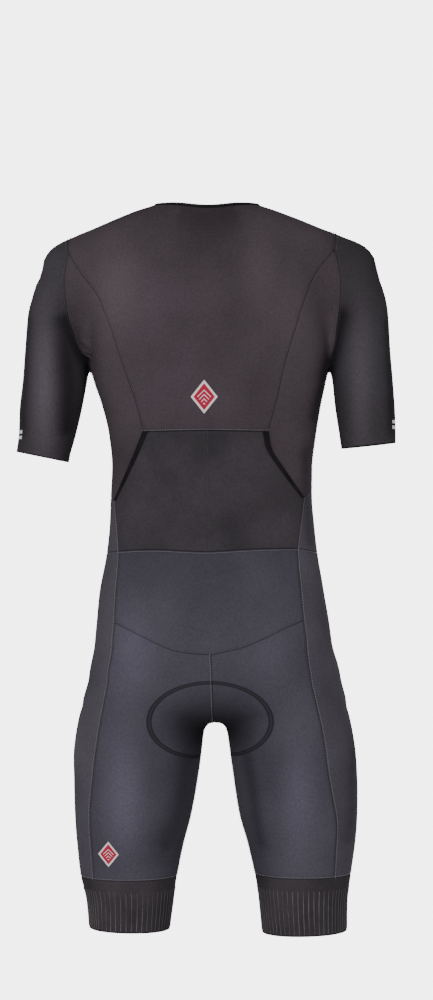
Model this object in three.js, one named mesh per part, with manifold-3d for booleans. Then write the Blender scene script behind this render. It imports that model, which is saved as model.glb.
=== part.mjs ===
// Short-sleeved one-piece triathlon suit in its hollow worn form.
// Millimetres, +Z up. The front faces -Y, the back +Y, and the wearer's left is +X.
// The origin is the centre of the neck opening, level with the tops of the shoulders.

import * as THREE from 'three';
import { mergeVertices } from 'three/addons/utils/BufferGeometryUtils.js';
import Module from 'manifold-3d';

const wasm = await Module();
wasm.setup();

// Driving dimensions
const WALL = 1.2;
const POCKET_WALL = 1.0;
const BINDING_WALL = 1.0;
const SEAM_GAP = 0.3;
const BINDING_WIDTH = 6;
const NECK_BINDING_HEIGHT = 5;
const ZIP_WIDTH = 10;
const RIB_HEIGHT = 0.6;
const RIB_START = 17;
const RIB_FADE = 5;
const PAD_THICKNESS = 6;
const PAD_EDGE_THICKNESS = 1.5;
const PAD_CLEARANCE = 0.7;

// How softly the forms run into each other
const LEG_BLEND = 18;
const SHOULDER_BLEND = 34;
const ARMPIT_BLEND = 10;

// Horizontal sections of the general figure that fills the cloth out.
// x is the middle of a section, half its half width, back and front its depths from y.
const TORSO = [
  { z: 60, x: 0, y: 4, half: 62, back: 54, front: 56 },
  { z: 12, x: 0, y: 4, half: 65, back: 55, front: 56 },
  { z: 0, x: 0, y: 4, half: 71, back: 57, front: 58 },
  { z: -10, x: 1, y: 4, half: 98, back: 62, front: 62 },
  { z: -20.5, x: 0, y: 4, half: 125, back: 67, front: 67 },
  { z: -31.5, x: -1, y: 4, half: 150, back: 72, front: 73 },
  { z: -42.5, x: -2, y: 3, half: 168, back: 78, front: 78 },
  { z: -60, x: -2, y: 2, half: 177, back: 86, front: 86 },
  { z: -100, x: -2, y: 0, half: 178, back: 99, front: 98 },
  { z: -150, x: -2, y: 0, half: 173, back: 106, front: 110 },
  { z: -200, x: -3, y: 0, half: 166, back: 107, front: 116 },
  { z: -240, x: -4, y: 0, half: 159, back: 104, front: 118 },
  { z: -273, x: -6, y: 0, half: 150, back: 100, front: 117 },
  { z: -316, x: -7.5, y: 0, half: 141.5, back: 94, front: 113 },
  { z: -360, x: -7, y: 0, half: 137, back: 87, front: 109 },
  { z: -404, x: -6, y: 0, half: 138, back: 82, front: 106 },
  { z: -448, x: -7, y: 0, half: 141, back: 81, front: 105 },
  { z: -481, x: -7, y: 0, half: 145, back: 84, front: 105 },
  { z: -525, x: -6.5, y: 0, half: 153, back: 94, front: 106 },
  { z: -569, x: -8, y: 0, half: 159, back: 106, front: 107 },
  { z: -612, x: -9, y: 0, half: 164, back: 116, front: 105 },
  { z: -656, x: -10.5, y: 0, half: 171, back: 120, front: 99 },
  { z: -690, x: -10.5, y: 0, half: 176, back: 116, front: 92 },
];
const ARMS = {
  left: [
    { z: -92, x: 176, y: 2, half: 50, back: 54, front: 54 },
    { z: -110, x: 186, y: 2, half: 48, back: 57, front: 57 },
    { z: -130, x: 193, y: 2, half: 47, back: 59, front: 59 },
    { z: -150, x: 199, y: 2, half: 46, back: 59, front: 60 },
    { z: -200, x: 204, y: 2, half: 45, back: 57, front: 59 },
    { z: -240, x: 208, y: 1, half: 44, back: 54, front: 56 },
    { z: -273, x: 213, y: 0, half: 43, back: 51, front: 53 },
    { z: -316, x: 219, y: -1, half: 39, back: 48, front: 50 },
    { z: -345, x: 225, y: -2, half: 37, back: 47, front: 48 },
    { z: -390, x: 231, y: -3, half: 36, back: 46, front: 47 },
  ],
  right: [
    { z: -92, x: -183, y: 2, half: 50, back: 54, front: 54 },
    { z: -110, x: -191, y: 2, half: 48, back: 57, front: 57 },
    { z: -130, x: -198, y: 2, half: 47, back: 59, front: 59 },
    { z: -150, x: -203, y: 2, half: 45, back: 59, front: 60 },
    { z: -200, x: -208, y: 2, half: 43, back: 57, front: 59 },
    { z: -240, x: -213, y: 1, half: 41.5, back: 54, front: 56 },
    { z: -273, x: -216, y: 0, half: 41, back: 51, front: 53 },
    { z: -316, x: -220, y: -1, half: 38.5, back: 48, front: 50 },
    { z: -345, x: -222, y: -2, half: 36.5, back: 47, front: 48 },
    { z: -390, x: -226, y: -3, half: 36, back: 46, front: 47 },
  ],
};
const SHOULDER_TOP = { z: -92, rise: 44 };
const ARM_END = -400;
const SLEEVE_TOP = { out: 186, z: -146 };
const LEGS = {
  left: [
    { z: -640, x: 73, y: 6, half: 78, back: 106, front: 94 },
    { z: -656, x: 76, y: 6, half: 82, back: 107, front: 94 },
    { z: -700, x: 88.5, y: 5, half: 86.5, back: 104, front: 92 },
    { z: -744, x: 94.5, y: 4, half: 87.5, back: 97, front: 91 },
    { z: -788, x: 97.5, y: 1, half: 84.5, back: 91, front: 90 },
    { z: -832, x: 101, y: -1, half: 80, back: 86, front: 86 },
    { z: -875, x: 105, y: -4, half: 73, back: 80, front: 81 },
    { z: -919, x: 107, y: -7, half: 66, back: 73, front: 74 },
    { z: -952, x: 105.5, y: -9, half: 59.5, back: 69, front: 70 },
    { z: -1010, x: 106.5, y: -10, half: 54.5, back: 65, front: 66 },
  ],
  right: [
    { z: -640, x: -94, y: 6, half: 79, back: 106, front: 94 },
    { z: -656, x: -97, y: 6, half: 83, back: 107, front: 94 },
    { z: -700, x: -110, y: 5, half: 85, back: 104, front: 92 },
    { z: -744, x: -117, y: 4, half: 86, back: 97, front: 91 },
    { z: -788, x: -121.5, y: 1, half: 84.5, back: 91, front: 90 },
    { z: -832, x: -125, y: -1, half: 81, back: 86, front: 86 },
    { z: -875, x: -129.5, y: -4, half: 73.5, back: 80, front: 81 },
    { z: -919, x: -131.5, y: -7, half: 65.5, back: 73, front: 74 },
    { z: -952, x: -132, y: -9, half: 60.5, back: 69, front: 70 },
    { z: -1010, x: -134, y: -10, half: 58, back: 65, front: 66 },
  ],
};
const LEG_TOP = { z: -650, rise: 60 };
const TORSO_BOTTOM = { z: -672, rise: 34 };
const TORSO_ROUNDNESS = 2.35;
const LIMB_ROUNDNESS = 2.15;

// Seams: distances from the origin's plane to the wearer's left and right at each height.
const BACK_ARMHOLE = [
  { z: -84, left: 190, right: 177 },
  { z: -100, left: 192, right: 180 },
  { z: -125, left: 191, right: 180.5 },
  { z: -150, left: 188, right: 178 },
  { z: -172, left: 182, right: 175 },
  { z: -192, left: 174, right: 173 },
];
const FRONT_ARMHOLE = [
  { z: -66, left: 176, right: 184 },
  { z: -95, left: 176, right: 184 },
  { z: -125, left: 174, right: 182 },
  { z: -155, left: 171, right: 178 },
  { z: -185, left: 168, right: 174 },
];
const PRINCESS_SEAM = [
  { z: -98, left: 170, right: 147 },
  { z: -120, left: 153, right: 137 },
  { z: -145, left: 140.5, right: 128 },
  { z: -175, left: 129, right: 119 },
  { z: -220, left: 114, right: 105 },
  { z: -265, left: 98, right: 95 },
];
const POCKET_SLANT = [
  { z: -335, left: 95, right: 86.5 },
  { z: -361, left: 106, right: 103 },
  { z: -384, left: 116, right: 119 },
];
const SIDE_PANEL_UPPER_SEAM = [{ z: -520, left: 122, right: 126 }];
const SIDE_PANEL_BACK_SEAM = [
  { z: -593, left: 126.5, right: 133.5 },
  { z: -637, left: 132, right: 138 },
  { z: -685, left: 139.5, right: 148 },
  { z: -725, left: 146.5, right: 156.5 },
  { z: -765, left: 152, right: 162 },
  { z: -800, left: 156, right: 168 },
  { z: -837, left: 158, right: 174.5 },
  { z: -880, left: 155.5, right: 173.5 },
];
const SIDE_PANEL_FRONT_SEAM = [
  { z: -520, left: 116, right: 131 },
  { z: -580, left: 121, right: 135 },
  { z: -640, left: 128, right: 142 },
  { z: -700, left: 137, right: 152 },
  { z: -765, left: 144, right: 161 },
  { z: -840, left: 149, right: 169 },
  { z: -880, left: 148, right: 169 },
];
const YOKE_SEAM = {
  left: [
    { x: 86, z: -587 },
    { x: 43, z: -605 },
  ],
  middle: { x: -5.7, z: -610.5 },
  right: [
    { x: -50, z: -600 },
    { x: -76, z: -589.5 },
    { x: -103, z: -577 },
  ],
};

// Points that the seams of the front, the neck, the shoulders and the crotch pass through
const ZIP_MIDDLE = [
  { x: -12, z: -370 },
  { x: -8, z: -260 },
  { x: -4, z: -160 },
];
const CHEST_LINE = [
  { out: 50, z: -226 },
  { out: 98, z: -242 },
  { out: 130, z: -258 },
];

const NECK_BACK_SIDE = [
  { out: 67.4, y: 27, z: -0.9 },
  { out: 51, y: 48.6, z: -1.4 },
];
const NECK_FRONT_SIDE = [
  { out: 58, y: -38, z: -14 },
  { out: 36, y: -68, z: -44 },
];
const SHOULDER_RIDGE = { out: 128, y: -3, z: -22 };
const SHOULDER_TIP_Y = -2;
const ARMPIT_HALF_DEPTH = 26;
const FLANK_LINE = [{ z: -270 }, { z: -310 }, { z: -350 }];
const FLANK_TURN = { from: -240, to: -320 };
const CHEST_FLANK = { y: -40, z: -262 };
const WAIST_BACK = [
  { x: 71, z: -470.5 },
  { x: 3, z: -473 },
  { x: -59, z: -470 },
];
const CENTRE_BACK = [
  { x: -7, z: -645 },
  { x: -8.5, z: -682 },
];
const CENTRE_FRONT = [
  { x: -13, z: -560 },
  { x: -11, z: -630 },
  { x: -10, z: -672 },
];
const CROTCH_BACK_Y = 50;
const CROTCH_FRONT_Y = -40;
const INSEAM = [
  { y: 4, z: -735 },
  { y: 2, z: -790 },
  { y: -2, z: -850 },
];

// Places clear of the figure, from which lines are cast to its surface
const OUTSIDE = 260;
const ABOVE = 90;
const BELOW_ARMPIT = -300;
const BELOW_CROTCH = -790;

// Seat pad: an oval seen from behind, cut from the columns and rows of the leg panels that
// lie next to the centre seam and the inseam.
const SEAT_PAD = { x: -4.5, z: -700, halfWidth: 81.5, halfHeight: 53, sides: 20, depth: 400 };
const SEAT_PAD_REACH = { columns: 6, below: 4, above: 6 };

// Zip slider and pull tab, in their own frame: x across, y up the zip, z off the cloth
const SLIDER = {
  below: 10,
  width: 8,
  length: 12,
  plate: 2,
  corner: 2.4,
  bridgeWidth: 2.4,
  bridge: 10,
  bridgeCorner: 1.4,
  post: 1.8,
  roof: 1.6,
  sink: 0.5,
  slot: 2.8,
  slotCorner: 0.6,
};
const PULL = {
  axis: 4,
  thickness: 1.6,
  width: 6.4,
  length: 24,
  corner: 0.7,
  bar: 1.6,
  window: 5.8,
  windowCorner: 0.4,
  play: 0.8,
};

// Corner sizes that differ between the two sides, as the pose turns the suit slightly.
const SIDES = {
  left: {
    sign: 1,
    shoulderTip: 186,
    armholeJunction: { x: 187.5, z: -70 },
    armpit: 159.5,
    pocketTop: { x: 85.5, z: -312 },
    pocketSlantEnd: { x: 125, z: -405 },
    pocketBottom: { x: 119, z: -473 },
    insertTop: -399,
    waist: -479,
    sideSeam: -20,
    yokeEnd: { x: 124.5, z: -569 },
    gripperTop: -918,
    gripperBack: 153,
    gripperFront: 145,
    hem: { outer: -989, inner: -991 },
    cuff: { outer: -338, inner: -353 },
    frontSeamTop: 112,
  },
  right: {
    sign: -1,
    shoulderTip: 168,
    armholeJunction: { x: 173, z: -64 },
    armpit: 168,
    pocketTop: { x: 82, z: -312 },
    pocketSlantEnd: { x: 131, z: -401 },
    pocketBottom: { x: 122, z: -469 },
    insertTop: -380,
    waist: -477,
    sideSeam: 2,
    yokeEnd: { x: 130, z: -566 },
    gripperTop: -915,
    gripperBack: 172,
    gripperFront: 166,
    hem: { outer: -993, inner: -996 },
    cuff: { outer: -326, inner: -334 },
    frontSeamTop: 128,
  },
};
const MIDDLE = {
  neckBack: { x: -1, z: -10 },
  neckFront: { x: -1, z: -70 },
  neckFrontY: -86,
  neckSide: { x: 70, z: 1 },
  pocketTop: { x: 2, z: -311 },
  waistFront: { x: -15, z: -471 },
  frontSeamTop: -474,
  crotch: { x: -9.6, y: 4 },
};

// Segments along each kind of seam. Panels that share a seam share its points.
const SEGMENTS = {
  shoulder: 4,
  neckBack: 8,
  neckFront: 4,
  armholeTip: 2,
  armholeBack: 7,
  princess: 9,
  slant: 4,
  pocketLower: 3,
  frontSide: 2,
  frontMiddle: 6,
  yokeSide: 4,
  centreBack: 6,
  centreFrontRise: 10,
  inseam: 8,
  sleeve: 10,
  ribsPerSegment: 5,
};
const BACK_COLUMNS = 2 * SEGMENTS.shoulder + SEGMENTS.neckBack;
const LEG_BACK_COLUMNS = BACK_COLUMNS / 2;

// Cloths and hard parts, with the colours of the real ones
const MATERIALS = {
  sheer: { color: 0x353134, roughness: 0.85, metalness: 0 },
  pocket: { color: 0x2f2d31, roughness: 0.85, metalness: 0 },
  sleeve: { color: 0x37353b, roughness: 0.7, metalness: 0 },
  shorts: { color: 0x3f3f48, roughness: 0.65, metalness: 0 },
  sidePanel: { color: 0x3c3d42, roughness: 0.75, metalness: 0 },
  gripper: { color: 0x2c292c, roughness: 0.8, metalness: 0 },
  binding: { color: 0x1c1b1d, roughness: 0.8, metalness: 0 },
  pad: { color: 0x2a2a2e, roughness: 0.95, metalness: 0 },
  zip: { color: 0x1d1d1f, roughness: 0.55, metalness: 0 },
  zipMetal: { color: 0x2b2b2d, roughness: 0.35, metalness: 0.8 },
};

const V = (x, y, z) => new THREE.Vector3(x, y, z);
const mix = (a, b, t) => a + (b - a) * t;

// A smooth curve through one column of a table, with no overshoot between rows.
function columnCurve(table, key) {
  const rows = [...table].sort((a, b) => a.z - b.z);
  const rise = rows.slice(1).map((row, i) => (row[key] - rows[i][key]) / (row.z - rows[i].z));
  const slopes = rows.map((row, i) => {
    if (i === 0 || i === rows.length - 1) return 0;
    const before = rise[i - 1];
    const after = rise[i];
    return before * after <= 0 ? 0 : (2 * before * after) / (before + after);
  });
  return (z) => {
    if (z <= rows[0].z) return rows[0][key];
    if (z >= rows.at(-1).z) return rows.at(-1)[key];
    const i = rows.findIndex((row) => row.z > z) - 1;
    const span = rows[i + 1].z - rows[i].z;
    const t = (z - rows[i].z) / span;
    const start = rows[i][key] * (1 + 2 * t) * (1 - t) ** 2 + slopes[i] * span * t * (1 - t) ** 2;
    return start + rows[i + 1][key] * t * t * (3 - 2 * t) - slopes[i + 1] * span * t * t * (1 - t);
  };
}

function sectionCurves(table) {
  const keys = ['x', 'y', 'half', 'back', 'front'];
  return Object.fromEntries(keys.map((key) => [key, columnCurve(table, key)]));
}

// Distance from a point to a stack of oval sections, negative inside. Past its cap height
// the stack closes in a dome.
function stackDistance(curves, point, roundness, cap) {
  const past = cap ? (point.z - cap.z) * Math.sign(cap.rise) : -1;
  const z = past > 0 ? cap.z : point.z;
  const dx = point.x - curves.x(z);
  const dy = point.y - curves.y(z);
  const dz = past > 0 ? past : 0;
  const depth = dy > 0 ? curves.back(z) : curves.front(z);
  const rise = cap ? Math.abs(cap.rise) : 1;
  const reach = ((Math.abs(dx) / curves.half(z)) ** roundness + (Math.abs(dy) / depth) ** roundness
    + (dz / rise) ** roundness) ** (1 / roundness);
  return reach < 1e-6 ? -depth : Math.hypot(dx, dy, dz) * (1 - 1 / reach);
}

function smoothMin(a, b, softness) {
  const overlap = Math.max(softness - Math.abs(a - b), 0) / softness;
  return Math.min(a, b) - (overlap * overlap * softness) / 4;
}

const torsoCurves = sectionCurves(TORSO);
const armCurves = { left: sectionCurves(ARMS.left), right: sectionCurves(ARMS.right) };
const legCurves = { left: sectionCurves(LEGS.left), right: sectionCurves(LEGS.right) };

// The figure's surface is where this is zero.
function figure(point) {
  const fade = THREE.MathUtils.smoothstep(-point.z, 120, 215);
  const armBlend = mix(SHOULDER_BLEND, ARMPIT_BLEND, fade);
  const bottom = { z: TORSO_BOTTOM.z, rise: -TORSO_BOTTOM.rise };
  let distance = stackDistance(torsoCurves, point, TORSO_ROUNDNESS, bottom);
  for (const side of ['left', 'right']) {
    const leg = stackDistance(legCurves[side], point, LIMB_ROUNDNESS, LEG_TOP);
    distance = smoothMin(distance, leg, LEG_BLEND);
  }
  if (point.z < ARM_END) return distance;
  for (const side of ['left', 'right']) {
    const arm = stackDistance(armCurves[side], point, LIMB_ROUNDNESS, SHOULDER_TOP);
    distance = smoothMin(distance, arm, armBlend);
  }
  return distance;
}

function gradient(point) {
  const step = 0.5;
  const along = (axis) => {
    const ahead = point.clone();
    const behind = point.clone();
    ahead[axis] += step;
    behind[axis] -= step;
    return (figure(ahead) - figure(behind)) / (2 * step);
  };
  return V(along('x'), along('y'), along('z'));
}

const outward = (point) => gradient(point).normalize();

// Slides a point along the slope of the figure until it lies on the surface.
function project(point) {
  const found = point.clone();
  for (let round = 0; round < 14; round += 1) {
    const slope = gradient(found);
    const step = THREE.MathUtils.clamp(-figure(found) / slope.lengthSq(), -18, 18);
    found.addScaledVector(slope, step);
  }
  return found;
}

// The first place where a line from the start crosses the surface, going in or out.
function cast(start, direction) {
  const inside = figure(start) < 0;
  const ray = direction.clone().normalize();
  let near = 0;
  let far = 3;
  while ((figure(start.clone().addScaledVector(ray, far)) < 0) === inside && far < 500) {
    near = far;
    far += 3;
  }
  for (let round = 0; round < 26; round += 1) {
    const middle = (near + far) / 2;
    const same = (figure(start.clone().addScaledVector(ray, middle)) < 0) === inside;
    if (same) near = middle;
    else far = middle;
  }
  return start.clone().addScaledVector(ray, far);
}

const onBack = (x, z) => cast(V(x, OUTSIDE, z), V(0, -1, 0));
const onFront = (x, z) => cast(V(x, -OUTSIDE, z), V(0, 1, 0));
const onTop = (x, y) => cast(V(x, y, ABOVE), V(0, 0, -1));
const onFlank = (side, y, z) => cast(V(torsoCurves.x(z), y, z), V(SIDES[side].sign, 0, 0));
const onArch = (x, y, z) => cast(V(x, y, z), V(0, 0, 1));

// Moves a point on the surface up its slope, or down it.
function climb(point, height) {
  const normal = outward(point);
  const up = V(0, 0, 1).addScaledVector(normal, -normal.z).normalize();
  return project(point.clone().addScaledVector(up, height));
}
const underBinding = (point) => climb(point, -NECK_BINDING_HEIGHT);

// A seam through the given points, as a row of points on the surface at given fractions.
function seam(points, segments, fractions) {
  const route = new THREE.CatmullRomCurve3(points, false, 'centripetal');
  route.arcLengthDivisions = 400;
  const places = fractions ?? Array.from({ length: segments + 1 }, (_, i) => i / segments);
  return places.map((place, i) => {
    if (i === 0) return points[0].clone();
    if (i === places.length - 1) return points.at(-1).clone();
    return project(route.getPointAt(place));
  });
}

const join = (...parts) => parts.flatMap((part, i) => (i === 0 ? part : part.slice(1)));
const reversed = (row) => [...row].reverse();
const tablePoints = (table, side, place) => table.map(
  (row) => place(SIDES[side].sign * row[side], row.z),
);

// A seam that follows a limb or the waist round at a turning angle about an upright axis.
function roundSeam(curves, from, to, sign, segments) {
  const angleOf = (p) => Math.atan2(p.y - curves.y(p.z), p.x - curves.x(p.z));
  const start = angleOf(from);
  let turn = (angleOf(to) - start) * sign;
  while (turn < 0) turn += 2 * Math.PI;
  return Array.from({ length: segments + 1 }, (_, i) => {
    if (i === 0) return from.clone();
    if (i === segments) return to.clone();
    const angle = start + (sign * turn * i) / segments;
    const z = mix(from.z, to.z, i / segments);
    return cast(V(curves.x(z), curves.y(z), z), V(Math.cos(angle), Math.sin(angle), 0));
  });
}

function lengthFractions(row) {
  const sums = [0];
  for (let i = 1; i < row.length; i += 1) sums.push(sums[i - 1] + row[i].distanceTo(row[i - 1]));
  return sums.map((sum) => sum / sums.at(-1));
}

// A grid of surface points between four seams. Left and right run from bottom to top.
function fillGrid({ bottom, top, left, right }) {
  const across = lengthFractions(bottom).map((u, i) => (u + lengthFractions(top)[i]) / 2);
  const up = lengthFractions(left).map((v, i) => (v + lengthFractions(right)[i]) / 2);
  return left.map((leftPoint, j) => bottom.map((bottomPoint, i) => {
    if (j === 0) return bottomPoint.clone();
    if (j === left.length - 1) return top[i].clone();
    if (i === 0) return leftPoint.clone();
    if (i === bottom.length - 1) return right[j].clone();
    const u = across[i];
    const v = up[j];
    const point = V(0, 0, 0);
    point.addScaledVector(bottomPoint, 1 - v).addScaledVector(top[i], v);
    point.addScaledVector(leftPoint, 1 - u).addScaledVector(right[j], u);
    point.addScaledVector(bottom[0], -(1 - u) * (1 - v)).addScaledVector(bottom.at(-1), -u * (1 - v));
    point.addScaledVector(top[0], -(1 - u) * v).addScaledVector(top.at(-1), -u * v);
    return project(point);
  }));
}

// Draws a grid's rim in by half the seam gap, so that neighbours stand clear of each other.
function drawInRim(grid, normals, closed) {
  const rows = grid.length;
  const columns = grid[0].length;
  const at = (j, i) => grid[j][closed ? (i + columns) % columns : i];
  return grid.map((row, j) => row.map((point, i) => {
    const shift = V(0, 0, 0);
    const pull = (behind, ahead, inner) => {
      const side = ahead.clone().sub(behind).cross(normals[j][i]).normalize();
      const inward = inner.clone().sub(point).dot(side) < 0 ? -1 : 1;
      shift.addScaledVector(side, (inward * SEAM_GAP) / 2);
    };
    const beside = closed ? [at(j, i - 1), at(j, i + 1)] : [at(j, Math.max(i - 1, 0)),
      at(j, Math.min(i + 1, columns - 1))];
    if (j === 0) pull(beside[0], beside[1], at(1, i));
    if (j === rows - 1) pull(beside[0], beside[1], at(rows - 2, i));
    const over = [at(Math.max(j - 1, 0), i), at(Math.min(j + 1, rows - 1), i)];
    if (!closed && i === 0) pull(over[0], over[1], at(j, 1));
    if (!closed && i === columns - 1) pull(over[0], over[1], at(j, columns - 2));
    return point.clone().add(shift);
  }));
}

// Turns an outer and an inner grid into one closed wall.
function wallGeometry(outer, inner, closed) {
  const rows = outer.length;
  const columns = outer[0].length;
  const vertices = [...outer.flat(), ...inner.flat()];
  const offset = rows * columns;
  const index = (layer, j, i) => layer * offset + j * columns + (i % columns);
  const faces = [];
  const quad = (a, b, c, d) => faces.push(a, b, c, a, c, d);
  const lastColumn = closed ? columns : columns - 1;
  for (let j = 0; j < rows - 1; j += 1) {
    for (let i = 0; i < lastColumn; i += 1) {
      quad(index(0, j, i), index(0, j, i + 1), index(0, j + 1, i + 1), index(0, j + 1, i));
      quad(index(1, j, i), index(1, j + 1, i), index(1, j + 1, i + 1), index(1, j, i + 1));
    }
  }
  for (let i = 0; i < lastColumn; i += 1) {
    const top = rows - 1;
    quad(index(0, 0, i), index(1, 0, i), index(1, 0, i + 1), index(0, 0, i + 1));
    quad(index(0, top, i), index(0, top, i + 1), index(1, top, i + 1), index(1, top, i));
  }
  for (let j = 0; j < rows - 1 && !closed; j += 1) {
    const end = columns - 1;
    quad(index(0, j, 0), index(0, j + 1, 0), index(1, j + 1, 0), index(1, j, 0));
    quad(index(0, j, end), index(1, j, end), index(1, j + 1, end), index(0, j + 1, end));
  }
  const volume = faces.reduce((sum, _, k) => (k % 3 ? sum
    : sum + vertices[faces[k]].dot(vertices[faces[k + 1]].clone().cross(vertices[faces[k + 2]]))), 0);
  if (volume < 0) {
    for (let k = 0; k < faces.length; k += 3) {
      [faces[k + 1], faces[k + 2]] = [faces[k + 2], faces[k + 1]];
    }
  }
  const geometry = new THREE.BufferGeometry();
  geometry.setAttribute('position', new THREE.Float32BufferAttribute(
    vertices.flatMap((p) => [p.x, p.y, p.z]), 3));
  geometry.setIndex(faces);
  return geometry;
}

const suit = new THREE.Group();

function addMesh(name, geometry, finish) {
  const mesh = new THREE.Mesh(geometry, new THREE.MeshStandardMaterial(MATERIALS[finish]));
  mesh.name = name;
  suit.add(mesh);
  return mesh;
}

// A wall of cloth on a grid of surface points, lifted clear of the surface where it lies on
// another panel, with relief added to its outer points.
function addCloth(name, grid, finish, options = {}) {
  const { lift = 0, closed = false, relief = null } = options;
  const wall = typeof options.wall === 'function' ? options.wall : () => options.wall ?? WALL;
  const normals = grid.map((row) => row.map(outward));
  const places = drawInRim(grid, normals, closed);
  const layer = (height) => places.map((row, j) => row.map(
    (point, i) => point.clone().addScaledVector(normals[j][i], height(j, i)),
  ));
  const outer = layer((j, i) => lift + (relief ? relief(j, i) : 0));
  const inner = layer((j, i) => lift - wall(j, i));
  addMesh(name, wallGeometry(outer, inner, closed), finish);
}

// Corners shared by several panels
function sideCorners(side) {
  const s = SIDES[side];
  const back = (place) => onBack(s.sign * place.x, place.z);
  const gripper = (x, place) => place(s.sign * x, s.gripperTop);
  return {
    neckSide: underBinding(project(V(s.sign * MIDDLE.neckSide.x, 0, MIDDLE.neckSide.z))),
    shoulderTip: onTop(s.sign * s.shoulderTip, SHOULDER_TIP_Y),
    junction: back(s.armholeJunction),
    armpit: onArch(s.sign * s.armpit, 0, BELOW_ARMPIT),
    pocketTop: back(s.pocketTop),
    pocketSlantEnd: back(s.pocketSlantEnd),
    pocketBottom: back(s.pocketBottom),
    insertTop: onFlank(side, s.sideSeam, s.insertTop),
    waistSide: onFlank(side, s.sideSeam, s.waist),
    frontSeamTop: onFront(s.sign * s.frontSeamTop, MIDDLE.frontSeamTop),
    yokeEnd: back(s.yokeEnd),
    gripperBack: gripper(s.gripperBack, onBack),
    gripperFront: gripper(s.gripperFront, onFront),
    gripperInner: cast(V(legCurves[side].x(s.gripperTop), 0, s.gripperTop), V(-s.sign, 0, 0)),
    zipTop: project(V(MIDDLE.neckFront.x + (s.sign * ZIP_WIDTH) / 2, MIDDLE.neckFrontY,
      MIDDLE.neckFront.z)),
    zipBottom: onFront(MIDDLE.waistFront.x + (s.sign * ZIP_WIDTH) / 2, MIDDLE.waistFront.z),
  };
}

const corners = { left: sideCorners('left'), right: sideCorners('right') };
const yokeMiddle = onBack(YOKE_SEAM.middle.x, YOKE_SEAM.middle.z);
const crotch = onArch(MIDDLE.crotch.x, MIDDLE.crotch.y, BELOW_CROTCH);
const waistFront = onFront(MIDDLE.waistFront.x, MIDDLE.waistFront.z);

// Narrow end columns under the pocket's bindings, even ones between them.
function bindingFractions(width) {
  const edge = BINDING_WIDTH / width;
  const between = BACK_COLUMNS - 2;
  const middle = Array.from({ length: between + 1 }, (_, i) => mix(edge, 1 - edge, i / between));
  return [0, ...middle, 1];
}

// Seams of one side, as rows of points
function sideSeams(side) {
  const s = SIDES[side];
  const c = corners[side];
  const armpitBack = onArch(s.sign * s.armpit, ARMPIT_HALF_DEPTH, BELOW_ARMPIT);
  const armpitFront = onArch(s.sign * s.armpit, -ARMPIT_HALF_DEPTH, BELOW_ARMPIT);
  const out = (place) => project(V(s.sign * place.out, place.y, place.z));
  const flankBelow = FLANK_LINE.map(({ z }) => onFlank(side,
    s.sideSeam * THREE.MathUtils.smoothstep(-z, -FLANK_TURN.from, -FLANK_TURN.to), z));
  const inner = INSEAM.map(({ y, z }) => cast(V(MIDDLE.crotch.x, y, z), V(s.sign, 0, 0)));
  return {
    shoulder: seam([c.neckSide, out(SHOULDER_RIDGE), c.shoulderTip], SEGMENTS.shoulder),
    armholeTip: seam([c.shoulderTip, c.junction], SEGMENTS.armholeTip),
    armholeBack: seam([c.junction, ...tablePoints(BACK_ARMHOLE, side, onBack), armpitBack, c.armpit],
      SEGMENTS.armholeBack),
    armholeFront: seam([c.armpit, armpitFront,
      ...reversed(tablePoints(FRONT_ARMHOLE, side, onFront)), c.shoulderTip],
    SEGMENTS.armholeTip + SEGMENTS.armholeBack),
    princess: seam([c.junction, ...tablePoints(PRINCESS_SEAM, side, onBack), c.pocketTop],
      SEGMENTS.princess),
    slant: seam([c.pocketTop, ...tablePoints(POCKET_SLANT, side, onBack), c.pocketSlantEnd],
      SEGMENTS.slant),
    pocketLower: seam([c.pocketSlantEnd, c.pocketBottom], SEGMENTS.pocketLower),
    sideSeam: seam([c.armpit, ...flankBelow, c.insertTop],
      SEGMENTS.princess + SEGMENTS.slant),
    insertSide: seam([c.insertTop, c.waistSide], SEGMENTS.pocketLower),
    insertTop: roundSeam(torsoCurves, c.pocketSlantEnd, c.insertTop, -s.sign, SEGMENTS.armholeBack),
    waistInsert: roundSeam(torsoCurves, c.pocketBottom, c.waistSide, -s.sign, SEGMENTS.armholeBack),
    waistFrontSide: roundSeam(torsoCurves, c.waistSide, c.frontSeamTop, -s.sign, SEGMENTS.frontSide),
    waistFront: roundSeam(torsoCurves, c.frontSeamTop, c.zipBottom, -s.sign, SEGMENTS.frontMiddle),
    neckFront: seam([c.neckSide, ...NECK_FRONT_SIDE.map(out).map(underBinding), c.zipTop],
      SEGMENTS.neckFront),
    sidePanelTop: seam([c.pocketBottom, ...tablePoints(SIDE_PANEL_UPPER_SEAM, side, onBack),
      c.yokeEnd], SEGMENTS.yokeSide),
    sidePanelBack: seam([c.yokeEnd, ...tablePoints(SIDE_PANEL_BACK_SEAM, side, onBack),
      c.gripperBack], SEGMENTS.centreBack + SEGMENTS.inseam),
    sidePanelFront: seam([c.frontSeamTop, ...tablePoints(SIDE_PANEL_FRONT_SEAM, side, onFront),
      c.gripperFront], SEGMENTS.yokeSide + SEGMENTS.centreBack + SEGMENTS.inseam),
    inseam: seam([crotch, ...inner, c.gripperInner], SEGMENTS.inseam),
    gripperBack: roundSeam(legCurves[side], c.gripperBack, c.gripperInner, s.sign, LEG_BACK_COLUMNS),
    gripperSide: roundSeam(legCurves[side], c.gripperBack, c.gripperFront, -s.sign,
      SEGMENTS.armholeBack + SEGMENTS.frontSide),
    gripperFront: roundSeam(legCurves[side], c.gripperFront, c.gripperInner, -s.sign,
      SEGMENTS.frontMiddle + 1),
  };
}

const seams = { left: sideSeams('left'), right: sideSeams('right') };

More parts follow.
